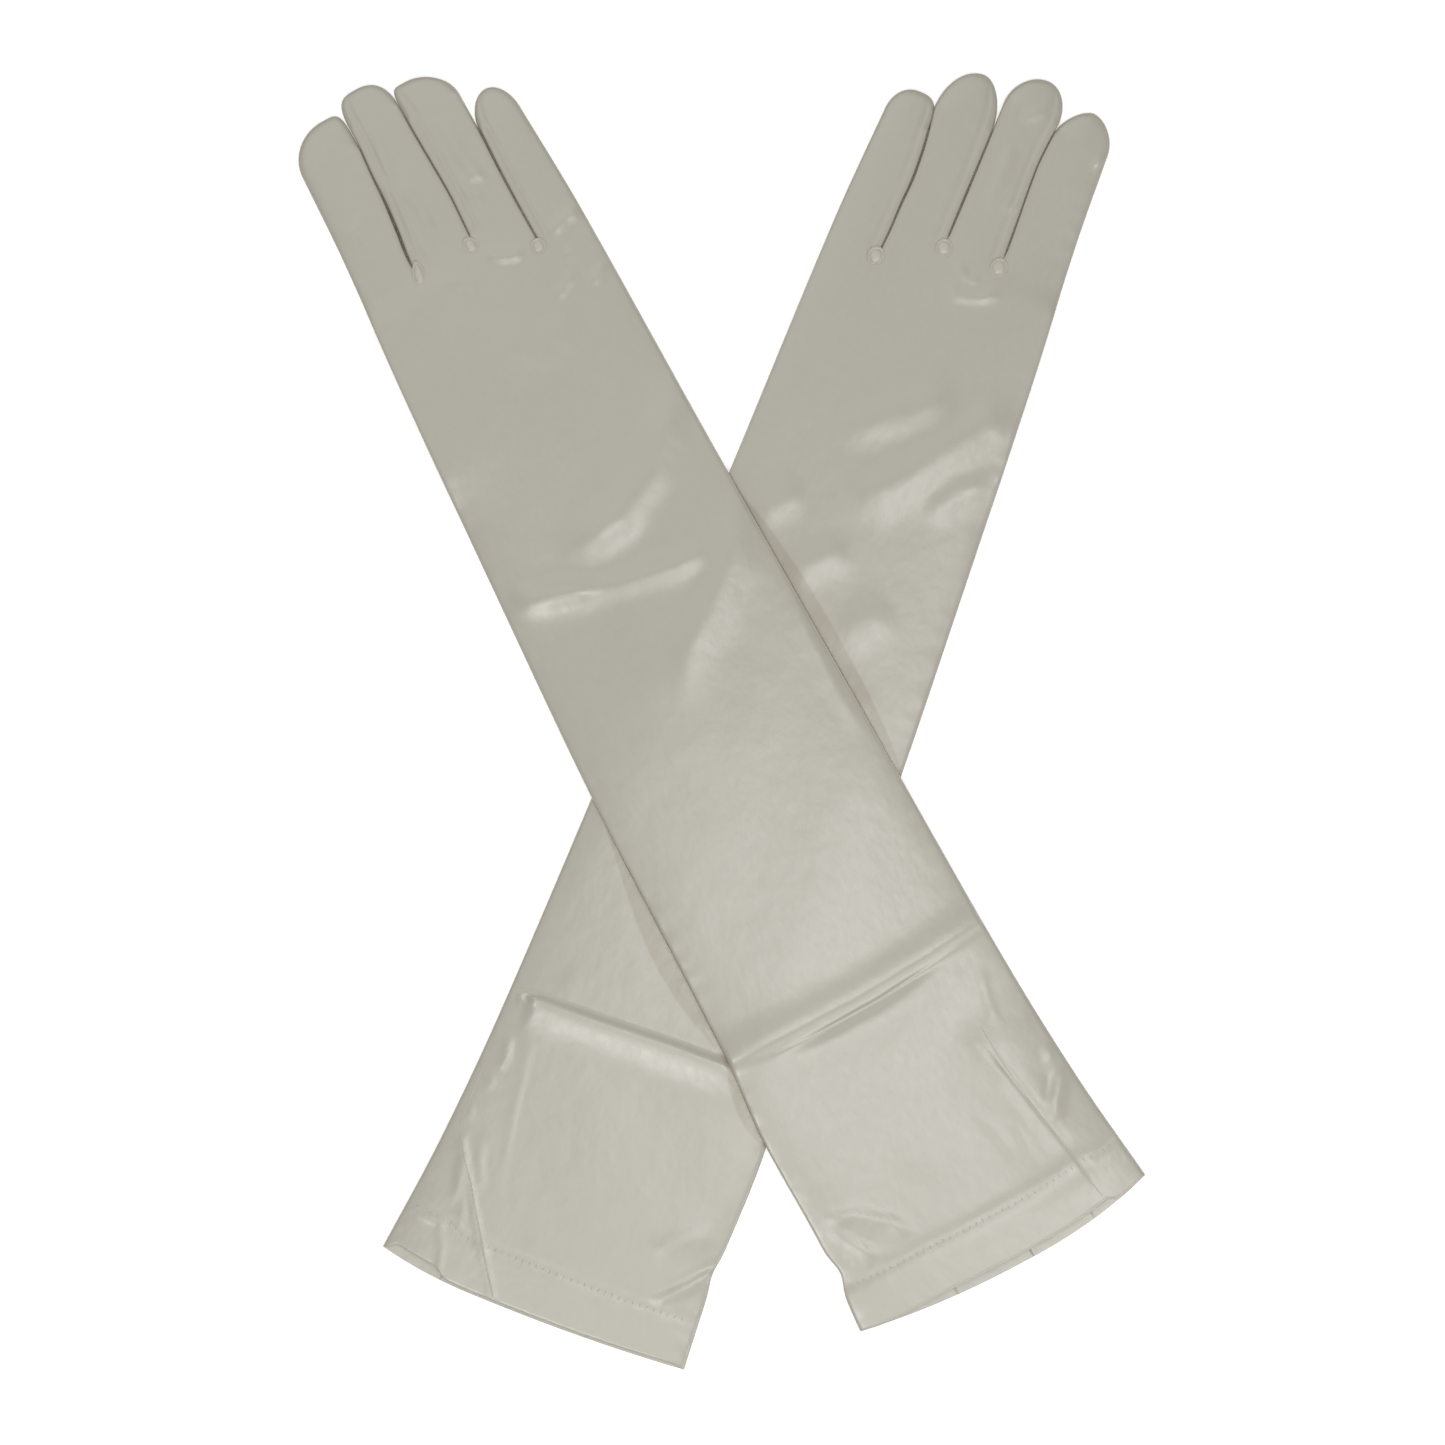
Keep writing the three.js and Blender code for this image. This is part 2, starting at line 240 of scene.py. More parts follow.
class GloveColours(bpy.types.PropertyGroup):
    """Colours of the cloth, thread and stage."""

    satin: bpy.props.FloatVectorProperty(
        name="Satin", description="Ivory satin", subtype="COLOR", size=3, min=0, max=1,
        default=(0.425, 0.402, 0.338))
    # Painted shade: the satin darkened along the cloth's edges and slits, where it rolls under, and in
    # the strip that the upper glove shades
    satin_deep: bpy.props.FloatVectorProperty(
        name="Satin in creases", description="The cloth's warmer tone beside seams",
        subtype="COLOR", size=3, min=0, max=1, default=(0.36, 0.325, 0.25))
    crevice: bpy.props.FloatVectorProperty(
        name="Between fingers", description="The cloth's shaded tone deep between the fingers",
        subtype="COLOR", size=3, min=0, max=1, default=(0.24, 0.16, 0.10))
    thread: bpy.props.FloatVectorProperty(
        name="Thread", description="Sewing thread", subtype="COLOR", size=3, min=0, max=1,
        default=(0.60, 0.57, 0.49))
    floor: bpy.props.FloatVectorProperty(
        name="Floor", description="Plain pale floor", subtype="COLOR", size=3, min=0, max=1,
        default=(0.9, 0.9, 0.9))


# ---- arithmetic on arrays ----

def ramp(x, low, high):
    """0 below low, 1 above high, and smooth between."""
    u = np.clip((np.asarray(x, float) - low) / (high - low), 0.0, 1.0)
    return u * u * (3 - 2 * u)


def curve_through(points, s):
    """A smooth value through (s, value) points, its slope at each taken from the neighbours."""
    knots, values = np.array(points, float).T
    s = np.clip(np.asarray(s, float), knots[0], knots[-1])
    last = len(knots) - 1
    before, after = np.clip(np.arange(last + 1) - 1, 0, last), np.clip(np.arange(last + 1) + 1, 0, last)
    slopes = (values[after] - values[before]) / (knots[after] - knots[before])
    i = np.clip(np.searchsorted(knots, s, side="right"), 1, last) - 1
    span = knots[i + 1] - knots[i]
    u = (s - knots[i]) / span
    return (values[i] * (1 + 2 * u) * (1 - u) ** 2 + values[i + 1] * (3 - 2 * u) * u ** 2
            + span * (slopes[i] * u * (1 - u) ** 2 - slopes[i + 1] * u ** 2 * (1 - u)))


def slit_half(name, k, s):
    """Half the width of the k-th slit between fingers."""
    start, _, half = SLITS[name][k]
    return SLIT_SPREAD * ramp(s, start, start + 1.5) * curve_through(half, s)


def boundary(name, k, s):
    """The k-th line along a glove: its little side, three lines between fingers, its index side."""
    if k == 0:
        return -curve_through(LITTLE_SIDE, s)
    if k == 4:
        depth, place, width = HEM_NOTCHES[name]
        return curve_through(INDEX_SIDE, s) - depth * np.exp(-((s - place) / width) ** 2)
    side = curve_through(LITTLE_SIDE if ARM_SHARES[k - 1] < 0 else INDEX_SIDE, s)
    into_hand = ramp(s, ARM_END, HAND_START)
    line = curve_through(SLITS[name][k - 1][1], s)
    return (1 - into_hand) * ARM_SHARES[k - 1] * side + into_hand * line


def slit_distance(name, t, s):
    """How far a point is from the nearest slit."""
    distance = np.full(np.shape(t), 1e3)
    for k, (start, line, _) in enumerate(SLITS[name]):
        place = curve_through(line, s)
        beside = np.abs(t - place) - slit_half(name, k, s)
        below = np.hypot(t - curve_through(line, start), s - start)
        distance = np.minimum(distance, np.where(s >= start, beside, below))
    return np.maximum(distance, 0.0)


def side_distance(name, t, s):
    """How far a point is from the glove's nearer outer side."""
    return np.maximum(np.minimum(t - boundary(name, 0, s), boundary(name, 4, s) - t), 0.0)


def stroke(t, s, path, height, left, right, taper=0.25):
    """A soft fold along a path of (s, t) points: its height, its width to the left and right of
    the path, and the share of its length over which each end fades."""
    points = np.array([(q[1], q[0]) for q in path], float)
    steps = np.diff(points, axis=0)
    lengths = np.hypot(*steps.T)
    total = lengths.sum()
    best = np.full(t.shape, 1e9)
    side = np.zeros(t.shape)
    place = np.zeros(t.shape)
    done = 0.0
    for start, step, length in zip(points, steps, lengths):
        dt, ds = t - start[0], s - start[1]
        along = np.clip((dt * step[0] + ds * step[1]) / length ** 2, 0, 1)
        away = np.hypot(dt - along * step[0], ds - along * step[1])
        nearer = away < best
        best = np.where(nearer, away, best)
        side = np.where(nearer, step[0] * ds - step[1] * dt, side)
        place = np.where(nearer, (done + along * length) / total, place)
        done += length
    width = np.where(side > 0, left, right)
    fade = 1.0 if taper == 0 else ramp(place, 0, taper) * (1 - ramp(place, 1 - taper, 1))
    return height * np.exp(-(best / width) ** 2) * fade


# ---- folds: a path of (s, t) points, a height, the widths either side, and how far its ends fade ----
RIGHT_FOLDS = [
    # the packing crease across the arm: a ridge, and a groove under the middle of it
    ([(127, 68), (125.5, 30), (125, 0), (126.5, -34), (129.5, -68)], 1.3, 4.6, 8.5, 0),
    ([(119.5, 50), (118.5, 24), (118.6, -6), (122, -50)], -1.1, 2.8, 1.3, 0.42),
    ([(112, 40), (110, 0), (112, -50)], 0.15, 8, 3, 0.3),
    # slanting folds on the forearm and the drape over the lower glove
    ([(398, -55), (378, -47), (359, -29), (350, -8), (347, 8), (346, 30)], 1.45, 9, 8, 0.3),
    ([(354, -16), (349, 0), (346, 18)], 0.7, 8, 8, 0.4),
    ([(338, 52), (332, 30), (325, 6), (320, -20), (319, -40)], 1.1, 5.6, 4.6, 0.2),
    ([(342, 52), (336, 34), (328, 12)], 1.1, 7.5, 5.5, 0.3),
    ([(344, -16), (333, -10), (327, -24)], -0.4, 6, 6, 0.35),
    ([(344, -62), (328, -54), (312, -42), (299, -26), (287, -8), (262, 10)], 1.3, 7, 9, 0.38),
    ([(296, -56), (272, -54), (240, -53), (216, -54)], 0.5, 4, 3, 0.3),
    ([(300, 20), (270, 10), (230, 14)], 0.25, 16, 16, 0.3),
    # the knuckles and the fingers
    ([(475, -11), (469, -16), (466.5, -22), (467.5, -28)], 0.71, 2.0, 2.6, 0.3),
    ([(467, -40), (471, -48), (470.5, -56)], 0.6, 2.4, 2.0, 0.25),
    ([(503, -17), (505.5, -23), (502, -28)], 0.5, 2.0, 1.8, 0.25),
    ([(440, -44), (444, -51), (446, -55)], 0.5, 2.0, 2.0, 0.3),
    ([(442, -28), (447, -37), (448, -42)], 0.5, 2.2, 2.2, 0.3),
    ([(486, 17), (505, 13.5), (530, 8)], 0.4, 2.0, 2.0, 0.3),
    ([(470, -36), (458, -40), (452, -46)], -0.34, 2, 2, 0.3),
    ([(476, 8), (468, 4), (462, -4)], 0.42, 2.6, 2.6, 0.35),
    ([(440, 10), (428, -14), (430, -38)], 0.42, 9, 9, 0.3),
    ([(502, -16), (497, -20), (492, -20)], 0.51, 1.3, 1.6, 0.3),
    ([(536, -22), (515, -22), (496, -26)], 0.48, 2.2, 3.2, 0.3),
    ([(520, 2), (512, 5), (500, 3), (488, 6)], 0.48, 1.8, 2.4, 0.3),
    ([(548, 2), (532, 6), (516, 8)], 0.34, 2.2, 2.2, 0.3),
    ([(512, 26), (508, 32), (506, 37)], 0.34, 1.8, 1.8, 0.3),
    # the cuff: the seam's hollow and puckers, and the folds at the corner of the hem
    ([(98, -40), (60, -41), (8, -46)], 1.1, 18, 14, 0.25),
    ([(84, -36), (68, -38.5), (52, -41.7), (17, -48), (-2, -50)], -0.32, 1.5, 1.3, 0.2),
    ([(112, -50), (98, -46), (84, -44)], 0.3, 2.0, 2.4, 0.3),
    ([(92, -31), (78, -33), (62, -37)], 0.2, 2.4, 3.0, 0.3),
    ([(60, -33), (48, -35), (36, -36)], 0.18, 2.0, 2.4, 0.3),
    ([(68, -61), (66, -58), (61, -57.5)], 0.45, 2.2, 2.2, 0.25),
    ([(58, -62), (54, -57), (47, -51), (38, -46)], 0.6, 2.6, 2.6, 0.25),
    ([(60, -55), (54, -51), (48, -47)], -0.3, 1.8, 1.8, 0.3),
    ([(50, 62), (46, 48), (36, 35), (26, 28)], 0.6, 3.0, 2.8, 0.25),
    ([(44, 63), (37, 52), (27, 40)], -0.25, 1.6, 1.6, 0.25),
    ([(45, 61), (38, 54), (25, 47)], 0.5, 2.2, 2.2, 0.25),
    ([(31, 63), (26, 54), (21, 46)], -0.25, 1.4, 1.4, 0.25),
    ([(62, -16), (50, -22), (34, -24)], 0.25, 2, 2.4, 0.3),
    ([(50, -30), (38, -31), (26, -29)], 0.22, 1.8, 2, 0.3),
    ([(70, 20), (52, 8), (46, -16)], 0.2, 9, 9, 0.3),
]
LEFT_FOLDS = [
    # the packing crease: a sharp step with a satin band on the hem's side
    ([(120.5, -52), (122, -20), (124, 11), (125, 41), (126, 66)], 1.45, 2.4, 10, 0.03),
    ([(132, -46), (133, 0), (136, 60)], 0.35, 9, 7, 0.1),
    # the small loop at the crease's end, and the long faint crease below it
    ([(122.5, -53), (120.5, -55), (117.5, -54), (117, -51), (119.5, -49.5), (122, -50.5)],
     0.55, 0.9, 0.9, 0.05),
    ([(116, -45), (78, -39), (37, -31)], 0.14, 1.2, 3.2, 0.3),
    # slanting folds on the forearm
    ([(386, -24), (400, -8), (416, 12), (424, 24)], 1.0, 9, 9, 0.3),
    ([(362, -6), (384, 14), (402, 26), (416, 36), (420, 53)], 1.5, 9.0, 9.5, 0.2),
    ([(368, 26), (386, 36), (396, 50)], 0.8, 5.0, 5.5, 0.3),
    ([(344, -42), (354, -32), (364, -24)], 0.7, 6.5, 6.5, 0.35),
    ([(326, -20), (337, -8), (348, 4)], 0.8, 6.5, 7, 0.35),
    ([(306, 10), (320, 20), (332, 30)], 0.7, 8, 9, 0.35),
    ([(268, 22), (284, 30), (296, 36)], 0.25, 6, 7, 0.35),
    # the knuckles and the fingers
    ([(476, -2), (471, 2), (470, 7), (474, 10)], 0.42, 1.6, 1.8, 0.3),
    ([(466, -4), (462, 3), (464, 12), (470, 22)], 0.51, 2.0, 2.6, 0.3),
    ([(502, 7), (506, 11), (505, 15)], 0.42, 1.4, 1.6, 0.3),
    ([(540, 0), (545, 5), (549, 11)], 0.42, 2.0, 2.4, 0.3),
    ([(532, -2), (524, 2), (510, 3), (496, 0)], 0.37, 2.4, 2.8, 0.3),
    ([(534, 36), (538, 38.5), (540, 39.5)], 0.68, 1.5, 2.0, 0.3),
    # the cuff: the seam, the creases that meet at its top and the folds at the hem
    ([(57, -57), (50, -52), (30, -38), (11, -24.5), (-4, -14)], 0.42, 1.3, 2.0, 0.06),
    ([(52, -53), (40, -50), (26, -48)], 0.28, 1.5, 1.7, 0.25),
    ([(48, -53), (33, -46), (19, -39)], 0.3, 1.8, 2.4, 0.25),
    ([(103, -53), (95, -51), (87, -50.5)], 0.45, 1.3, 1.7, 0.25),
    ([(85, -55), (79, -51)], 0.32, 1.4, 1.6, 0.3),
    ([(71, -58), (64, -54)], 0.3, 1.4, 1.6, 0.3),
    ([(60, -48), (48, -44), (38, -38)], 0.22, 1.8, 2.2, 0.3),
    ([(22, -52), (8, -45), (-3, -42)], 0.28, 1.3, 2.0, 0.2),
    ([(21, -66), (17, -59), (18, -51)], 0.32, 1.6, 1.8, 0.2),
    ([(22, 45), (33, 56), (45, 65)], 0.5, 1.5, 2.4, 0.15),
    ([(26, 45), (37, 56), (49, 65)], -0.25, 1.3, 1.3, 0.15),
    ([(40, 34), (52, 48), (60, 60)], 0.4, 4, 5.5, 0.3),
]


class Glove:
    """One glove's plan and its place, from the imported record's mount at the mouth of its arm."""

    def __init__(self, name, side, folds):
        mount = next(m for m in frame["record"]["mounts"] if m["name"] == f"{name}_arm")
        self.name, self.side, self.folds = name, side, folds
        self.origin = np.array(mount["pos_m"][:2], float) / MM
        self.along = -np.array(mount["axis"][:2], float)
        self.across = side * np.array([self.along[1], -self.along[0]])

    def plan_to_frame(self, t, s):
        """Frame x and y, in millimetres, of plan points."""
        return (self.origin[0] + t * self.across[0] + s * self.along[0],
                self.origin[1] + t * self.across[1] + s * self.along[1])

    def frame_to_plan(self, x, y):
        """Plan t and s of frame points."""
        dx, dy = x - self.origin[0], y - self.origin[1]
        return (dx * self.across[0] + dy * self.across[1],
                dx * self.along[0] + dy * self.along[1])

    def point(self, t, s, z):
        """One frame point, in metres."""
        x, y = self.plan_to_frame(t, s)
        return (float(x) * MM, float(y) * MM, z * MM)

    def outside(self, x, y):
        """How far frame points lie outside this glove's sides; negative inside."""
        t, s = self.frame_to_plan(x, y)
        return np.maximum(t - boundary(self.name, 4, s), boundary(self.name, 0, s) - t)


class Cloth:
    """The heights of one glove's cloth, in millimetres. The ends of a ramp are places s or t on the
    plan, or distances from an edge."""

    def __init__(self, glove, other, sizes):
        self.glove, self.other = glove, other
        self.edge = sizes.edge_half_height / MM
        self.roll_width = sizes.edge_roll / MM
        self.puff = sizes.puff / MM
        self.climb = sizes.climb / MM

    def outside_other(self, t, s):
        """How far plan points lie outside the other glove."""
        return self.other.outside(*self.glove.plan_to_frame(t, s))

    def shaded(self, t, s):
        """How far plan points of the lower glove lie inside the strip that the upper one shades."""
        if self.glove.name == "right":
            return np.zeros(np.shape(t))
        above_t, above_s = self.other.frame_to_plan(*self.glove.plan_to_frame(t, s))
        past_index_side = above_t - boundary("right", 4, above_s)
        past_little_side = boundary("right", 0, above_s) - above_t
        beyond = np.maximum(past_index_side - curve_through(SHADED_BY_INDEX_SIDE, above_s),
                            past_little_side - curve_through(SHADED_BY_LITTLE_SIDE, above_s))
        return np.clip(SHADE_SOFTNESS / 2 - beyond, -5, 5)

    def lying_on(self, t, s):
        """The table or the other glove."""
        if self.glove.name == "left":
            return np.zeros(np.shape(t))
        return self.climb * (1 - ramp(self.outside_other(t, s), -22, 58))

    def palm_base(self, t, s):
        """What the palm lies on: its thumb as well."""
        over_thumb = 2.4 * ramp(s, 374, 402) * (1 - ramp(s, 466, 480)) * ramp(t, -6, 18)
        return self.lying_on(t, s) + over_thumb

    def back_base(self, t, s, distance):
        """The same, as the back feels it: the thumb lifts it only a little, away from the edges."""
        slight = 1.15 * ramp(s, 320, 410) * (1 - ramp(s, 425, 505)) * ramp(t, -34, 16)
        away = 1 - np.exp(-distance / 9)
        return (1 - away) * self.palm_base(t, s) + away * (self.lying_on(t, s) + slight)

    def roll(self, distance, width):
        """A quarter round from an edge inwards."""
        return np.sqrt(1 - (1 - np.clip(distance / width, 0, 1)) ** 2)

    def waves(self, t, s):
        """Slow unevenness all over."""
        slow = (np.sin(s / 23 + 1.3 * np.sin(t / 19)) * np.cos(t / 17 - s / 61)
                + 0.6 * np.sin(s / 11 + t / 13 + self.glove.side))
        return 0.10 * slow

    def puckers(self, s, distance):
        """Small ripples along the outer seams."""
        ripple = np.sin(s / 1.7 + 2 * np.sin(s / 9.0)) * np.sin(s / 31 + self.glove.side) ** 2
        return 0.13 * ripple * np.exp(-distance / 4.5)

    def top(self, t, s, side, slit):
        """The back's height, from the distances to the nearer outer edge and to the nearest slit.
        Under the upper glove the lower one is pressed flat, and the fingers round up sooner from
        their edges than the arm does."""
        distance = np.minimum(side, slit)
        covered = 0.0
        if self.glove.name == "left":
            covered = 1 - ramp(self.outside_other(t, s), -7, 2)
        reach = 8 - 5 * ramp(s, 484, 522)
        rise = (1 - np.exp(-side / reach)) * (0.85 + 0.15 * (1 - np.exp(-slit / 3)))
        puff = self.puff * (1 - 0.7 * covered) * rise
        round_over = np.minimum(self.roll(side, self.roll_width), self.roll(slit, 0.16))
        folds = sum(stroke(t, s, *fold) for fold in self.glove.folds) * (1 - covered)
        depth, width = HEM_HOLLOWS[self.glove.name]
        hem_step = 0.12 * (1 - ramp(s, HEM_DEPTH - 0.8, HEM_DEPTH + 0.8))
        hem_hollow = depth * np.exp(-((s - HEM_DEPTH - 0.5 - width / 2) / width) ** 2)
        mouth_round = 0.55 * (1 - self.roll(s, 1.3))
        shape = (folds + self.waves(t, s) * (1 - 0.7 * covered) + self.puckers(s, side)
                 + hem_step - hem_hollow - mouth_round)
        from_edge = ramp(side, -0.4, 1.6) * ramp(slit, -0.05, 0.5) * (distance > 0)
        return (self.back_base(t, s, distance) + self.edge * (1 + round_over)
                + (puff + shape) * from_edge)

    def bottom(self, t, s, distance):
        """The palm's height."""
        round_under = self.roll(distance, self.roll_width)
        return self.palm_base(t, s) + self.edge - (self.edge - 0.06) * round_under


# ---- the skin's grid: its columns as shares of a lane's width, closer together at the edges ----
COLUMNS = np.array([0, 0.006, 0.014, 0.026, 0.045, 0.07, 0.1, 0.14, 0.18, 0.225, 0.275, 0.33, 0.385,
                    0.44, 0.5, 0.56, 0.615, 0.67, 0.725, 0.775, 0.82, 0.86, 0.9, 0.93, 0.955, 0.974,
                    0.986, 0.994, 1.0])
FAR_FROM_SLIT = 40.0


def row_places(name, lane):
    """The s of a lane's rows, from the hem to where its finger starts to round off."""
    shoulder = TIPS[name][lane][0]
    stretches = [(0, 1.4, 4), (1.4, HEM_DEPTH, 10), (HEM_DEPTH, 110, 52), (110, 118, 6),
                 (118, 130, 30), (130, 140, 8), (140, 440, 150), (440, 469, 18), (469, 484, 11),
                 (484, shoulder, 30)]
    rows = [np.linspace(start, end, count, endpoint=False) for start, end, count in stretches]
    return np.concatenate(rows + [[shoulder]])


def across_lane(low, high):
    """Places from low to high at the grid's columns, one row for each pair of ends."""
    return low[:, None] + (high - low)[:, None] * COLUMNS


def lane_grid(name, number):
    """Plan points of one lane, one row for each s and one column for each share of its width:
    t, s, and the distances to the nearer outer edge and to the nearest slit."""
    rows = row_places(name, LANES[number])
    low, high = boundary(name, number, rows), boundary(name, number + 1, rows)
    if number > 0:
        low = low + slit_half(name, number - 1, rows)
    if number < 3:
        high = high - slit_half(name, number, rows)
    t, s = across_lane(low, high), across_lane(rows, rows)
    straight = t, s, side_distance(name, t, s), slit_distance(name, t, s)
    tip = tip_grid(TIPS[name][LANES[number]], low[-1], high[-1])
    return [np.vstack(pair) for pair in zip(straight, tip)]


def tip_grid(tip, low, high):
    """The same for a fingertip that starts between low and high: each half of it is part of a
    rounded square, and the rows come closer together towards its top."""
    shoulder, top, peak, low_square, high_square = tip
    rise = np.sin(np.radians([6, 13, 21, 29, 37, 45, 53, 60, 66, 71, 75.5, 79.5, 83, 86, 88.5, 90]))
    below = (1 - rise ** low_square) ** (1 / low_square)
    above = (1 - rise ** high_square) ** (1 / high_square)
    below[-1] = above[-1] = 0.0
    t = across_lane(peak - (peak - low) * below, peak + (high - peak) * above)
    places = shoulder + (top - shoulder) * rise
    s = across_lane(places, places)
    rise = rise[:, None]
    reach = np.where(t < peak, peak - low, high - peak)
    square = np.where(t < peak, low_square, high_square)
    out = (np.abs(t - peak) / reach) ** square + rise ** square
    inward = 1 - np.clip(out, 0, 1) ** (1 / square)
    side = inward * (reach * (1 - rise) + (high - low) / 2 * rise)
    side[:, 0] = side[:, -1] = 0.0
    slit = np.where(side > 0, FAR_FROM_SLIT, 0.0) * rise + (1 - rise) * side
    return t, s, side, slit


def hem_bow(glove, t, s):
    """How far the mouth bows out beyond a straight hem."""
    bow, middle = HEM_BOWS[glove.name]
    share = (t - middle) / np.where(t > middle, HALF_MOUTH - middle, HALF_MOUTH + middle)
    return bow * (1 - np.abs(share) ** 2.2) * np.clip(1 - s / 90, 0, 1)


def mouth_of_back(glove, t, s, distance):
    """How far the back's hem stops short of the palm's hem."""
    if glove.name == "right":
        short = HEM_SLIP * (1 - ramp(t, 20, 62)) * ramp(t, -56, -49)
    else:
        short = LEFT_HEM_SLIP + HEM_SLIP * (1 - ramp(t, -46, -38))
    return short * ramp(distance, 0, 6) * np.clip(1 - s / 70, 0, 1)


def part_names(lane, places, shares, back):
    """The piece that each cell of a lane belongs to, from the cells' s and shares of the width."""
    facing_index = 1 - (STRIP_FACING_INDEX if back else STRIP_ON_PALM)
    across = [f"{lane}:index_side" if share > facing_index and lane != "index"
              else f"{lane}:little_side" if share < STRIP_FACING_LITTLE and lane != "little"
              else lane for share in shares]
    names = []
    for s in places:
        if s < HEM_DEPTH:
            names += ["hem"] * len(shares)
        elif s < KNUCKLES[lane]:
            names += ["arm"] * len(shares)
        else:
            names += across
    return names


def grid_quads(numbers, turned):
    """The quads of a grid of point numbers, with their corners in the other order if turned."""
    quads = np.stack([numbers[:-1, :-1], numbers[:-1, 1:], numbers[1:, 1:], numbers[1:, :-1]], -1)
    return (quads[..., ::-1] if turned else quads).reshape(-1, 4)


def sewn_together(points, cells):
    """Points that lie within a micrometre made one: the numbers of those kept, and the quads."""
    _, kept, merged = np.unique(np.round(points, 3), axis=0, return_index=True, return_inverse=True)
    return kept, merged.ravel()[np.vstack(cells)]


def area_normals(points, quads):
    """Each point's normal, weighted by the area of the quads round it."""
    corners = points[quads]
    weights = np.cross(corners[:, 2] - corners[:, 0], corners[:, 3] - corners[:, 1])
    normals = np.zeros_like(points)
    for corner in range(4):
        np.add.at(normals, quads[:, corner], weights)
    return normals / np.maximum(np.linalg.norm(normals, axis=1, keepdims=True), 1e-12)


class Skin:
    """The whole cloth of one glove: its points and their normals, and its quads by piece. The
    normals are those of the whole skin, so the pieces match where they meet."""

    def __init__(self, glove, cloth):
        self.glove = glove
        points, plan, deep, cells, labels = [], [], [], [], []
        offset = 0
        for number, lane in enumerate(LANES):
            t, s, side, slit = lane_grid(glove.name, number)
            for back in (True, False):
                grid = self.back_grid if back else self.palm_grid
                face_t, face_s, height, distance, dark, shares = grid(cloth, number, t, s, side, slit)
                x, y = glove.plan_to_frame(face_t, face_s)
                points.append(np.stack([x, y, height], -1).reshape(-1, 3))
                plan.append(np.stack([face_t, face_s, distance], -1).reshape(-1, 3))
                deep.append(dark.ravel())
                numbers = offset + np.arange(height.size).reshape(height.shape)
                offset += height.size
                cells.append(grid_quads(numbers, back == (glove.side < 0)))
                places, across = (s[:-1, 0] + s[1:, 0]) / 2, (shares[:-1] + shares[1:]) / 2
                labels += part_names(lane, places, across, back)
        points = np.vstack(points)
        kept, self.quads = sewn_together(points, cells)
        self.points, self.plan = points[kept], np.vstack(plan)[kept]
        self.tones = {"deep": np.concatenate(deep)[kept], "shaded": cloth.shaded(*self.plan[:, :2].T)}
        self.labels = np.array(labels)
        self.normals = area_normals(self.points, self.quads)

    def back_grid(self, cloth, number, t, s, side, slit):
        """The back: its hem stops a little short, a groove marks each fourchette's seam, and the walls
        of the slits are painted dark as the shade between the fingers."""
        lane, name = LANES[number], self.glove.name
        height = cloth.top(t, s, side, slit)
        if lane != "index":
            off_seam = np.abs(COLUMNS - (1 - STRIP_FACING_INDEX)) * (t[:, -1:] - t[:, :1])
            on_finger = ramp(s, KNUCKLES[lane] - 6, KNUCKLES[lane] + 2) * ramp(side, 0, 3)
            height = height - GROOVE_DEPTH * np.exp(-(off_seam / GROOVE_WIDTH) ** 2) * on_finger
        slits = max(number - 1, 0), min(number, 2)
        half = np.maximum(*[slit_half(name, k, s) for k in slits])
        opened = s >= min(SLITS[name][k][0] for k in slits) + 1
        # painted shade on the slit walls, darker where a slit is wider
        dark = np.clip(half / 0.4, 0.08, 0.8) * np.exp(-(slit / 0.2) ** 2)
        dark = dark * opened * (s <= TIPS[name][lane][0] + 6)
        moved = s + mouth_of_back(self.glove, t, s, side) - hem_bow(self.glove, t, s)
        return t, moved, height, np.minimum(side, slit), dark, COLUMNS

    def palm_grid(self, cloth, number, t, s, side, slit):
        """The palm, on every other column, with a lip that closes each slit from below, painted in the
        dark shade between the fingers.
        """
        name, shares = self.glove.name, COLUMNS[::2]
        t, s, distance = t[:, ::2], s[:, ::2], np.minimum(side, slit)[:, ::2]
        height, rim = cloth.bottom(t, s, distance), cloth.palm_base(t, s) + cloth.edge
        fields = np.stack([t, s, height, distance, np.zeros(t.shape), rim, hem_bow(self.glove, t, s)])
        for k, column, outwards in ((number - 1, 0, -1), (number, -1, 1)):
            if not 0 <= k <= 2:
                continue
            lip = fields[:, :, column].copy()
            _, place, height, _, _, rim, _ = lip
            beside = (place > SLITS[name][k][0]) * (place <= TIPS[name][LANES[number]][0] + 8)
            over = np.maximum(slit_half(name, k, place) - SLIT_GAP, 0) * beside
            lip[0] += outwards * over
            # the lip takes the full dark tone, a painted shade
            lip[2:5] = np.where(over > 0, rim - 0.55, height), np.zeros(len(over)), over > 0
            at = 1 if column == 0 else len(shares) - 1
            fields = np.insert(fields, at, lip, axis=2)
            shares = np.insert(shares, at, shares[column])
        t, s, height, distance, dark, _, bow = fields
        return t, s - bow, height, distance, dark, shares

    def piece(self, name, label, thickness, material):
        """One piece of the skin, given its thickness inwards; it thins towards its edges."""
        quads = self.quads[self.labels == label]
        used, local = np.unique(quads, return_inverse=True)
        thin = np.minimum(thickness, 0.25 + 0.2 * self.plan[used, 2])
        return shell(name, self.points[used], self.normals[used], local.reshape(quads.shape), thin,
                     material, self.plan[used], {key: tone[used] for key, tone in self.tones.items()})


def without_repeats(face):
    """A face's corners with neighbours that fell together taken out."""
    kept = [v for i, v in enumerate(face) if v != face[i - 1]]
    return kept if len(set(kept)) == len(kept) and len(kept) > 2 else None


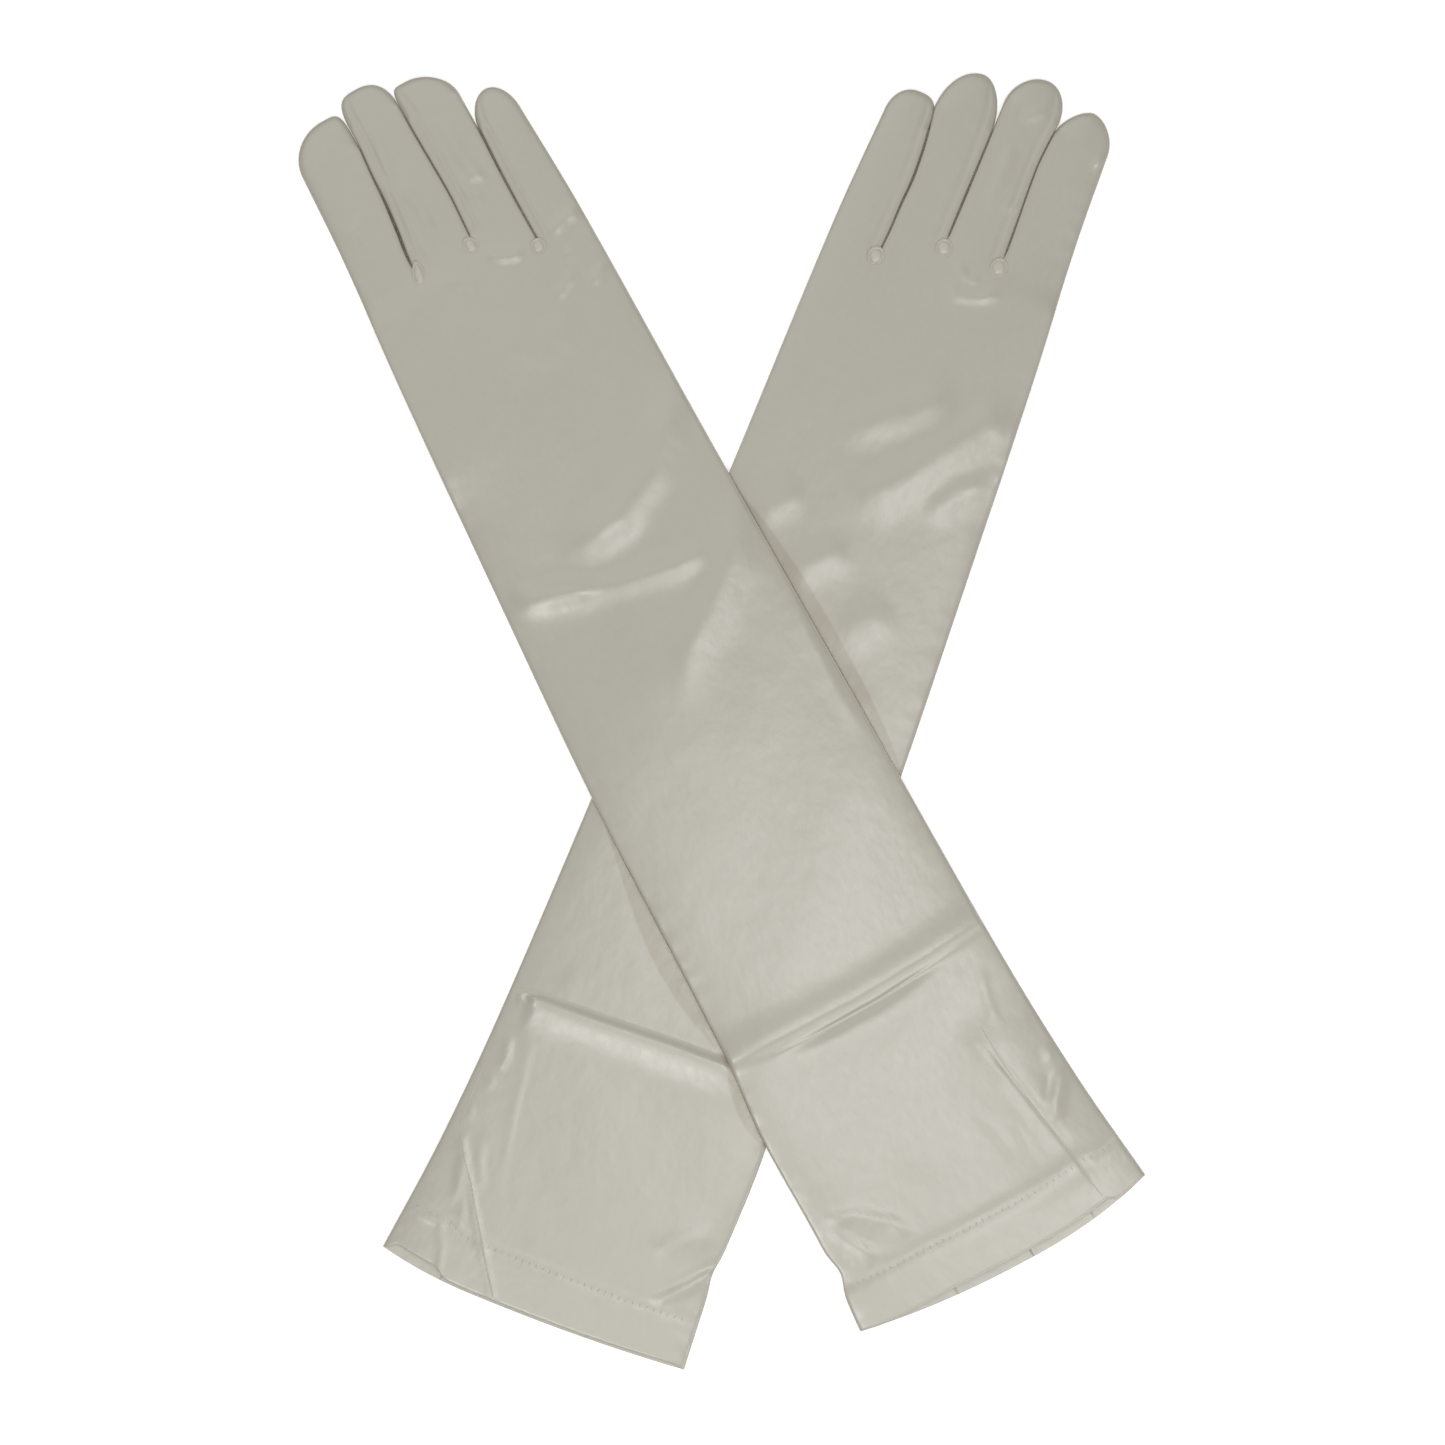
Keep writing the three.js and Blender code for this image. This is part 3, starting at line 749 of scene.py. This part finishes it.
def shell(name, points, normals, quads, thickness, material, plan, tones=None):
    """A closed piece of cloth: the outer face, the inner face and the rim between them. The faces
    keep the normals given, and the rim is flat."""
    count = len(points)
    outer = [face for face in map(without_repeats, quads.tolist()) if face]
    inner = [[v + count for v in reversed(face)] for face in outer]
    edges = {edge: True for face in outer for edge in zip(face, face[1:] + face[:1])}
    rim = [[a + count, b + count, b, a] for a, b in edges if (b, a) not in edges]
    inside = points - normals * np.asarray(thickness).reshape(-1, 1)
    both = np.vstack([points, inside]) * MM
    both_normals = np.vstack([normals, -normals])
    loop_normals = [both_normals[v] for face in outer + inner for v in face]
    for a, b, c, _ in rim:
        flat = np.cross(both[b] - both[a], both[c] - both[b])
        loop_normals += [flat / max(np.linalg.norm(flat), 1e-12)] * 4
    both_tones = {key: np.tile(values, 2) for key, values in (tones or {}).items()}
    return mesh_object(name, both, outer + inner + rim, material, np.vstack([plan, plan]),
                       loop_normals, both_tones)


def mesh_object(name, points, faces, material, plan=None, loop_normals=None, tones=None):
    """A mesh object at the origin, with its plan places and tones kept as attributes."""
    mesh = bpy.data.meshes.new(name)
    mesh.from_pydata(np.asarray(points).tolist(), [], faces)
    mesh.shade_smooth()
    if plan is not None:
        attribute = mesh.attributes.new("plan", "FLOAT_VECTOR", "POINT")
        attribute.data.foreach_set("vector", (plan * MM).astype(np.float32).ravel())
    for key, values in (tones or {}).items():
        attribute = mesh.attributes.new(key, "FLOAT", "POINT")
        attribute.data.foreach_set("value", np.asarray(values, np.float32))
    if loop_normals is not None:
        mesh.normals_split_custom_set(np.asarray(loop_normals).tolist())
    obj = bpy.data.objects.new(name, mesh)
    bpy.context.scene.collection.objects.link(obj)
    mesh.materials.append(material)
    return obj


# ---- materials ----

class Value:
    """A node socket, with arithmetic that adds Math nodes."""

    def __init__(self, tree, socket):
        self.tree, self.socket = tree, socket

    def _math(self, operation, a, b):
        return self.tree.node("ShaderNodeMath", {"operation": operation}, {0: a, 1: b})[0]

    def __add__(self, other):
        return self._math("ADD", self, other)

    def __mul__(self, other):
        return self._math("MULTIPLY", self, other)

    def __sub__(self, other):
        return self._math("SUBTRACT", self, other)

    def __rsub__(self, other):
        return self._math("SUBTRACT", other, self)

    __radd__ = __add__
    __rmul__ = __mul__


class Tree:
    """A material's nodes."""

    def __init__(self, name):
        self.material = bpy.data.materials.new(name)
        self.material.use_nodes = True
        self.nodes = self.material.node_tree.nodes
        self.links = self.material.node_tree.links
        self.shader = self.nodes["Principled BSDF"]

    def node(self, kind, settings=None, inputs=None):
        """Adds a node and returns its outputs as values."""
        made = self.nodes.new(kind)
        for key, value in (settings or {}).items():
            setattr(made, key, value)
        for key, value in (inputs or {}).items():
            if isinstance(value, Value):
                self.links.new(value.socket, made.inputs[key])
            else:
                made.inputs[key].default_value = value
        return [Value(self, out) for out in made.outputs]

    def noise(self, place, scale, detail, roughness=0.5):
        """An even random pattern, from 0 to 1."""
        return self.node("ShaderNodeTexNoise", {}, {
            "Vector": place, "Scale": scale, "Detail": detail, "Roughness": roughness})[0]

    def attribute(self, name, output):
        """An attribute of the piece: output 1 is its vector, 2 its number."""
        return self.node("ShaderNodeAttribute", {"attribute_name": name})[output]

    def soft_step(self, value, start, end, low, high):
        """A value taken smoothly from low at start to high at end."""
        return self.node("ShaderNodeMapRange", {"interpolation_type": "SMOOTHSTEP"}, {
            "Value": value, "From Min": start, "From Max": end, "To Min": low, "To Max": high})[0]

    def mix(self, factor, a, b):
        """A blend of two colours."""
        return self.node("ShaderNodeMix", {"data_type": "RGBA"}, {0: factor, 6: a, 7: b})[2]

    def bump(self, strength, distance, height):
        """The normal of a fine relief."""
        return self.node("ShaderNodeBump", {}, {
            "Strength": strength, "Distance": distance, "Height": height})[0]

    def feed(self, socket, value):
        """Lets a pattern drive one of the shader's sockets."""
        self.links.new(value.socket, self.shader.inputs[socket])

    def constant(self, socket, value):
        """Sets one of the shader's sockets all over."""
        self.shader.inputs[socket].default_value = value


def tinted(colour, tint=1.0):
    """A colour made lighter or darker, with full opacity."""
    return tuple(min(channel * tint, 1) for channel in colour) + (1,)


def satin_material(name, colours, tint, roughness, weave_turn):
    """Ivory satin: long floats along the arm, a faint slub and mottle, painted shade along the edges
    and slits and in the upper glove's shadow, and a deeper painted shade in the slits."""
    tree = Tree(name)
    plan = tree.attribute("plan", 1)
    turned = tree.node("ShaderNodeMapping", {}, {
        "Vector": plan, "Rotation": (0, 0, math.radians(weave_turn)), "Scale": (1.0, 0.5, 0.0)})[0]
    floats = tree.noise(turned, 420.0, 2.0, 0.6)
    slub = tree.noise(turned, 420.0, 3.0, 0.55)
    cloud = tree.noise(plan, 26.0, 3.0)
    mottle = tree.noise(plan, 75.0, 2.0)
    from_edge = tree.node("ShaderNodeSeparateXYZ", {}, {0: plan})[2]
    # painted shade: darker within 2.8 mm of an edge or a slit, where the cloth rolls under
    beside = tree.soft_step(from_edge, 0.0, 0.0028, 0.35, 0.0)
    # painted shadow of the upper glove on the strip of the lower glove beside it and under it
    under = tree.soft_step(tree.attribute("shaded", 2), 0.0, SHADE_SOFTNESS, 0.0, 0.85)
    light, pale = tinted(colours.satin, tint), tinted(colours.satin, tint * 1.12)
    cloth = tree.mix(cloud * 0.35 + floats * 0.35 - 0.1, light, pale)
    tone = tree.mix(beside + under, cloth, tinted(colours.satin_deep, tint))
    # painted shade deep between the fingers and round the fourchette ends
    tree.feed("Base Color", tree.mix(tree.attribute("deep", 2), tone, tinted(colours.crevice)))
    tree.feed("Roughness", slub * 0.10 + (roughness - 0.05))
    tree.feed("Normal", tree.bump(1.0, 0.0002, mottle + floats * 0.14))
    tree.constant("Specular IOR Level", 1.0)
    tree.constant("Sheen Weight", 0.1)
    tree.constant("Sheen Roughness", 0.35)
    tree.constant("Sheen Tint", (1.0, 0.98, 0.94, 1.0))
    return tree.material


def thread_material(name, colours):
    """Twisted sewing thread."""
    tree = Tree(name)
    place = tree.node("ShaderNodeTexCoord")[3]
    twist = tree.node("ShaderNodeTexWave", {"bands_direction": "DIAGONAL"}, {
        "Vector": place, "Scale": 900.0, "Distortion": 1.5, "Detail": 1.0})[1]
    tree.feed("Base Color", tree.mix(twist, tinted(colours.thread, 0.8), tinted(colours.thread)))
    tree.feed("Roughness", twist * 0.1 + 0.42)
    tree.feed("Normal", tree.bump(0.5, 0.0001, twist))
    tree.constant("Sheen Weight", 0.2)
    return tree.material


def floor_material(name, colours):
    """Plain pale floor, faintly uneven."""
    tree = Tree(name)
    cloud = tree.noise(tree.node("ShaderNodeTexCoord")[3], 3.0, 2.0)
    tree.feed("Base Color", tree.mix(cloud, tinted(colours.floor), tinted(colours.floor, 0.995)))
    tree.feed("Roughness", cloud * 0.05 + 0.85)
    tree.constant("Emission Color", (1, 1, 1, 1))
    tree.constant("Emission Strength", FLOOR_GLOW)
    return tree.material


# Each finish with how it is made and, for the satins, its tint, its roughness and the turn of its
# weave in degrees
FINISHES = {
    "ivory_satin": (satin_material, 1.0, 0.31, 0),
    "fourchette_satin": (satin_material, 0.98, 0.32, 90),
    "fourchette_end_satin": (satin_material, 1.12, 0.34, 0),
    "hem_satin": (satin_material, 1.02, 0.30, 0),
    # the side seam's welt is tinted lighter than the satin as a painted highlight
    "seam_satin": (satin_material, 1.04, 0.40, 0),
    "ivory_thread": (thread_material,),
    "pale_floor": (floor_material,),
}


def finish(name):
    """The named material, made once."""
    make, *choices = FINISHES[name]
    return bpy.data.materials.get(name) or make(name, bpy.context.scene.glove_colours, *choices)


# ---- the gloves ----

def gloves():
    """The two gloves, each with the other that it lies on or under."""
    left = Glove("left", 1, LEFT_FOLDS)
    right = Glove("right", -1, RIGHT_FOLDS)
    return (left, right), (right, left)


made_skins = {}


def skin_of(glove, other):
    """A glove's skin and cloth, worked out once for each choice of sizes."""
    sizes = bpy.context.scene.glove_sizes
    key = (glove.name, *(getattr(sizes, size) for size in GloveSizes.__annotations__))
    if key not in made_skins:
        cloth = Cloth(glove, other, sizes)
        made_skins[key] = (Skin(glove, cloth), cloth)
    return made_skins[key]


def finger_turn(glove, lane, obj):
    """Bakes a piece of a finger into its mesh as it lies; the points on its knuckle line and past it
    are worked out but not used, so the piece does not bend.
    """
    middle, base = FINGER_MIDDLES[lane], KNUCKLES[lane]
    glove.point(middle, base, 0)
    glove.point(middle, base + KNUCKLE_TURN, 0)
    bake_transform(obj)


class GLOVES_OT_arms(bpy.types.Operator):
    """Makes the hand and arm of each glove, and its turned-up hem"""

    bl_idname = "opera_gloves.arms"
    bl_label = "Arms and hems"

    def execute(self, context):
        sizes = context.scene.glove_sizes
        for glove, other in gloves():
            skin, _ = skin_of(glove, other)
            name = glove.name
            arm = skin.piece(f"{name}_arm_cloth", "arm", sizes.ply / MM, finish("ivory_satin"))
            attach(arm, f"{name}_glove")
            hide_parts(f"{name}_back_panel", f"{name}_palm_panel", f"{name}_index_side_fold")
            hem = skin.piece(f"{name}_hem_band", "hem", sizes.hem_ply / MM, finish("hem_satin"))
            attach(hem, f"{name}_glove")
            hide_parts(f"{name}_hem_back", f"{name}_hem_palm")
        return {"FINISHED"}


class GLOVES_OT_fingers(bpy.types.Operator):
    """Makes the fingers and the fourchettes between them"""

    bl_idname = "opera_gloves.fingers"
    bl_label = "Fingers and fourchettes"

    def execute(self, context):
        ply = context.scene.glove_sizes.ply / MM
        for glove, other in gloves():
            skin, _ = skin_of(glove, other)
            for lane in LANES:
                name = f"{glove.name}_{lane}"
                finger = skin.piece(f"{name}_finger_cloth", lane, ply, finish("ivory_satin"))
                finger_turn(glove, lane, finger)
                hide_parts(f"{name}_back", f"{name}_palm")
                for side, wall in zip(("little_side", "index_side"), FINGER_WALLS[lane]):
                    if "fourchette" not in wall:
                        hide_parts(f"{name}_{wall}")
                        continue
                    strip = skin.piece(f"{name}_{side}_strip", f"{lane}:{side}", ply,
                                       finish("fourchette_satin"))
                    finger_turn(glove, lane, strip)
                    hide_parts(f"{name}_{wall}")
        return {"FINISHED"}


def drop_outline(count, roundness):
    """A drop's outline, one unit to each side, its narrow end at +1."""
    angles = np.linspace(0, 2 * math.pi, count, endpoint=False)
    narrow = 0.75 * (1 - roundness)
    return np.sin(angles) * (1 - narrow * (1 - np.abs(np.sin(angles / 2)))), np.cos(angles)


class GLOVES_OT_crotches(bpy.types.Operator):
    """Makes the folded ends of the fourchettes, small drops at the foot of each slit"""

    bl_idname = "opera_gloves.crotches"
    bl_label = "Fourchette ends"

    def execute(self, context):
        for glove, other in gloves():
            _, cloth = skin_of(glove, other)
            for seam, end in zip(SEAM_NAMES, FOURCHETTE_ENDS[glove.name]):
                level = self.cloth_level(cloth, *end[:2])
                drop = self.drop(glove, seam, end, level)
                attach(drop, f"{glove.name}_glove")
                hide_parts(f"{glove.name}_{seam}_crotch")
                ring = self.outline(glove, end, 40, 1.0, level + END_BINDING)
                binding = tube(f"{glove.name}_{seam}_end_stitching", ring + ring[:1],
                               BINDING_RADIUS * MM, finish("ivory_thread"), fade=1.0)
                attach(binding, f"{glove.name}_glove")
        return {"FINISHED"}

    def cloth_level(self, cloth, s, t):
        """The height of the cloth just beside an end, where no slit or outer edge pulls it down."""
        beside = np.array([t + 2.0]), np.array([s - 1.5])
        return float(cloth.top(*beside, np.array([15.0]), np.array([3.2]))[0]) + 0.12

    def outline(self, glove, end, count, share, height):
        """One turned and scaled drop outline of an end, as frame points."""
        middle_s, middle_t, half_wide, half_long, turn, roundness = end
        across, along = drop_outline(count, roundness)
        wide, long = half_wide * share * across, half_long * share * along
        cos, sin = math.cos(math.radians(turn)), math.sin(math.radians(turn))
        t, s = middle_t + wide * cos - long * sin, middle_s + wide * sin + long * cos
        return [glove.point(a, b, height) for a, b in zip(t, s)]

    def drop(self, glove, seam, end, level):
        """One end: its section swept round its outline, closed above and below."""
        count = 28
        points, shades = [], []
        for share, height, shade in END_SECTION:
            points += self.outline(glove, end, count, share, level + height)
            # each ring's painted shade, darkest at the rim where the end sinks into the cloth
            shades += [shade] * count
        for height in (END_CROWN, END_UNDERSIDE):
            points.append(glove.point(end[1], end[0], level + height))
            shades.append(0.0)
        crown, under = len(points) - 2, len(points) - 1
        faces = []
        for i in range(count):
            j = (i + 1) % count
            for outer in range(0, crown - count, count):
                inner = outer + count
                faces.append([outer + j, outer + i, inner + i, inner + j])
            last = crown - count
            faces.append([last + j, last + i, crown])
            faces.append([i, j, under])
        if glove.side < 0:
            faces = [face[::-1] for face in faces]
        return mesh_object(f"{glove.name}_{seam}_fourchette_end", points, faces,
                           finish("fourchette_end_satin"), away_from_edges(points),
                           tones={"deep": shades})


def away_from_edges(points):
    """Plan places for a small piece's pattern: its own places, with no edge near."""
    plan = np.array(points) / MM
    plan[:, 2] = 3.0
    return plan


def tube(name, points, radius, material, sides=8, flat=1.0, fade=0.35):
    """A thin welt along frame points, in metres, with its height to its width as flat says and its
    ends fading to a share of its size."""
    points = np.asarray(points, float)
    along = np.gradient(points, axis=0)
    along /= np.linalg.norm(along, axis=1, keepdims=True)
    across = np.cross(along, [0, 0, 1.0])
    across /= np.maximum(np.linalg.norm(across, axis=1, keepdims=True), 1e-9)
    up = np.cross(across, along)
    angles = np.linspace(0, 2 * math.pi, sides, endpoint=False)[None, :, None]
    size = np.full((len(points), 1, 1), radius)
    size[0] = size[-1] = radius * fade
    section = np.cos(angles) * across[:, None, :] + flat * np.sin(angles) * up[:, None, :]
    rings = points[:, None, :] + size * section
    faces = []
    for i in range(len(points) - 1):
        for j in range(sides):
            k = (j + 1) % sides
            faces.append([i * sides + j, i * sides + k, (i + 1) * sides + k, (i + 1) * sides + j])
    last = (len(points) - 1) * sides
    faces.append(list(range(sides))[::-1])
    faces.append([last + j for j in range(sides)])
    return mesh_object(name, rings.reshape(-1, 3), faces, material,
                       away_from_edges(np.repeat(points, sides, axis=0)))


class GLOVES_OT_seams(bpy.types.Operator):
    """Makes the side seam on the little finger's side and the stitches of the hem"""

    bl_idname = "opera_gloves.seams"
    bl_label = "Side seams and hem stitches"

    def execute(self, context):
        for glove, other in gloves():
            _, cloth = skin_of(glove, other)
            name = glove.name
            welt = self.side_seam(glove, cloth)
            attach(welt, f"{name}_glove")
            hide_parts(f"{name}_little_side_seam")
            stitches = self.hem_stitches(glove, cloth)
            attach(stitches, f"{name}_glove")
        return {"FINISHED"}

    def side_seam(self, glove, cloth):
        """A low welt that crosses the cuff and then follows the little side to the knuckles. It
        sinks into the cloth between the cuff and the side."""
        name, path = glove.name, SEAM_PATHS[glove.name]
        joins = path[-1][0]
        s = np.concatenate([np.linspace(1.5, joins, 110), np.linspace(joins + 3, SEAM_TOP, 110)])
        onto_side = ramp(s, joins - 12, joins + 40)
        on_cuff = curve_through(path, np.minimum(s, joins))
        t = (1 - onto_side) * on_cuff + onto_side * (boundary(name, 0, s) + 0.5)
        side, slit = side_distance(name, t, s), slit_distance(name, t, s)
        moved = s + mouth_of_back(glove, t, s, side) - hem_bow(glove, t, s)
        sunk = 0.12 + 0.4 * ramp(s, 84, 108) * (1 - ramp(s, joins + 10, joins + 50))
        height = cloth.top(t, s, side, slit) - sunk
        points = [glove.point(*place) for place in zip(t, moved, height)]
        return tube(f"{name}_side_seam_welt", points, WELT_RADIUS * MM, finish("seam_satin"),
                    flat=0.6)

    def hem_stitches(self, glove, cloth):
        """Short upright stitches along the top of the hem, modelled once and repeated."""
        bpy.ops.object.select_all(action="DESELECT")
        bpy.ops.mesh.primitive_uv_sphere_add(segments=8, ring_count=6, radius=1.0)
        stitch = bpy.context.object
        unit = np.array([v.co for v in stitch.data.vertices])
        shape = [list(p.vertices) for p in stitch.data.polygons]
        bpy.data.objects.remove(stitch, do_unlink=True)
        if glove.side < 0:
            shape = [face[::-1] for face in shape]
        wide, long, tall = STITCH_HALF_SIZES
        points, faces = [], []
        places = np.arange(-STITCH_REACH, STITCH_REACH + 0.5, STITCH_SPACING)
        s = np.full(places.shape, HEM_DEPTH + 0.4)
        side = side_distance(glove.name, places, s)
        height = cloth.top(places, s, side, side + FAR_FROM_SLIT)
        moved = s + mouth_of_back(glove, places, s, side) - hem_bow(glove, places, s)
        for k, (t, at, z) in enumerate(zip(places, moved, height)):
            lean = 0.25 * math.sin(1.7 * k)
            x, y = glove.plan_to_frame(t + wide * unit[:, 0] + lean * unit[:, 1],
                                       at + long * unit[:, 1])
            base = len(points)
            points += np.stack([x, y, z + 0.05 + tall * unit[:, 2]], -1).tolist()
            faces += [[base + v for v in face] for face in shape]
        return mesh_object(f"{glove.name}_hem_stitches", np.array(points) * MM, faces,
                           finish("ivory_thread"))


class GLOVES_OT_thumbs(bpy.types.Operator):
    """Makes each thumb, pressed flat under its palm"""

    bl_idname = "opera_gloves.thumbs"
    bl_label = "Thumbs"

    def execute(self, context):
        for glove, _ in gloves():
            thumb = self.thumb(glove)
            start, end = [glove.point(*place) for place in THUMB_BEND]
            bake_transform(thumb)
            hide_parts(*[f"{glove.name}_thumb_{part}" for part in ("outer", "inner", "seam")])
        return {"FINISHED"}

    def thumb(self, glove):
        """A long pocket with a round tip, its foot raised to the palm where it is set in."""
        angles = np.radians([90, 84, 76, 66, 54, 40, 25, 10])
        foot = THUMB_START - (THUMB_START - THUMB_FOOT) * np.sin(angles)
        body = np.linspace(THUMB_START, THUMB_SHOULDER, 26)
        top = THUMB_SHOULDER + (THUMB_TIP - THUMB_SHOULDER) * np.sin(angles[::-1])
        s = np.concatenate([foot, body, top])
        half = np.interp(s, *np.transpose(THUMB_HALF_WIDTHS))
        half[:len(foot)] *= np.cos(angles) ** 0.5
        half[-len(top):] *= np.cos(angles[::-1])
        half[0] = half[-1] = 0.0
        across = half[:, None] * (2 * COLUMNS - 1)
        middle = THUMB_MIDDLE + 1.5 * ramp(s, 430, THUMB_FOOT)[:, None]
        s = across_lane(s, s)
        from_side = half[:, None] - np.abs(across)
        from_end = np.maximum(np.minimum(s - THUMB_FOOT, THUMB_TIP - s), 0)
        distance = np.minimum(from_side, from_end)
        roll = np.sqrt(1 - (1 - np.clip(distance / 1.4, 0, 1)) ** 2)
        lift = 0.5 * (1 - ramp(s, 400, 414))
        upper = 0.75 + 0.65 * roll + 0.75 * (1 - np.exp(-distance / 5)) + lift
        lower = 0.75 - 0.68 * roll + 0.4 * lift
        x, y = glove.plan_to_frame(middle + across, s)
        numbers = np.arange(s.size).reshape(s.shape)
        points = np.vstack([np.stack([x, y, np.where(distance > 0, height, 0.75)], -1).reshape(-1, 3)
                            for height in (upper, lower)])
        cells = [grid_quads(numbers, glove.side < 0), grid_quads(numbers + s.size, glove.side > 0)]
        kept, quads = sewn_together(points, cells)
        points = points[kept]
        plan_t, plan_s = glove.frame_to_plan(points[:, 0], points[:, 1])
        plan = np.stack([plan_t, plan_s, np.full(len(points), 2.0)], -1)
        return shell(f"{glove.name}_thumb_cloth", points, area_normals(points, quads), quads,
                     THUMB_PLY, finish("ivory_satin"), plan)


class GLOVES_OT_stage(bpy.types.Operator):
    """Makes the floor, the lights and the camera"""

    bl_idname = "opera_gloves.stage"
    bl_label = "Stage"

    def execute(self, context):
        bpy.ops.object.select_all(action="DESELECT")
        bpy.ops.mesh.primitive_plane_add(size=FLOOR_SIZE, location=(0, 0, -FLOOR_DROP))
        floor = context.object
        floor.name = "floor"
        floor.data.materials.append(finish("pale_floor"))
        for name, (place, size, watts) in SOFTBOXES.items():
            self.light(name, place, size, watts)
        world = bpy.data.worlds.new("soft_room")
        world.use_nodes = True
        background = world.node_tree.nodes["Background"].inputs
        background["Color"].default_value = (1, 1, 1, 1)
        background["Strength"].default_value = ROOM_LIGHT
        context.scene.world = world
        camera = bpy.data.cameras.new("camera")
        camera.sensor_width = SENSOR_WIDTH
        camera.lens = SENSOR_WIDTH * CAMERA_PLACE[2] / VIEW_WIDTH
        camera.clip_end = 50
        holder = bpy.data.objects.new("camera", camera)
        holder.location = CAMERA_PLACE
        context.scene.collection.objects.link(holder)
        context.scene.camera = holder
        context.scene.view_settings.view_transform = "Standard"
        return {"FINISHED"}

    def light(self, name, place, size, watts):
        """One square softbox aimed at the middle of the pair."""
        data = bpy.data.lights.new(name, "AREA")
        data.shape, data.size, data.energy = "SQUARE", size, watts
        lamp = bpy.data.objects.new(name, data)
        lamp.location = place
        lamp.rotation_euler = (-lamp.location).to_track_quat("-Z", "Y").to_euler()
        bpy.context.scene.collection.objects.link(lamp)


class GLOVES_PT_panel(bpy.types.Panel):
    """Opera gloves"""

    bl_idname = "GLOVES_PT_panel"
    bl_label = "Opera Gloves"
    bl_space_type = "VIEW_3D"
    bl_region_type = "UI"
    bl_category = "Opera Gloves"

    def draw(self, context):
        for group in (context.scene.glove_sizes, context.scene.glove_colours):
            box = self.layout.box()
            for name in group.__annotations__:
                box.prop(group, name)
        for operator in STEPS:
            self.layout.operator(operator.bl_idname)


STEPS = (GLOVES_OT_stage, GLOVES_OT_arms, GLOVES_OT_fingers, GLOVES_OT_crotches, GLOVES_OT_seams,
         GLOVES_OT_thumbs)
CLASSES = (GloveSizes, GloveColours, *STEPS, GLOVES_PT_panel)


def register():
    for cls in CLASSES:
        bpy.utils.register_class(cls)
    bpy.types.Scene.glove_sizes = bpy.props.PointerProperty(type=GloveSizes)
    bpy.types.Scene.glove_colours = bpy.props.PointerProperty(type=GloveColours)


def unregister():
    del bpy.types.Scene.glove_colours
    del bpy.types.Scene.glove_sizes
    for cls in reversed(CLASSES):
        bpy.utils.unregister_class(cls)


def main():
    register()
    bpy.ops.opera_gloves.stage()
    bpy.ops.opera_gloves.arms()
    bpy.ops.opera_gloves.fingers()
    bpy.ops.opera_gloves.crotches()
    bpy.ops.opera_gloves.seams()
    bpy.ops.opera_gloves.thumbs()


if __name__ == "__main__":
    main()
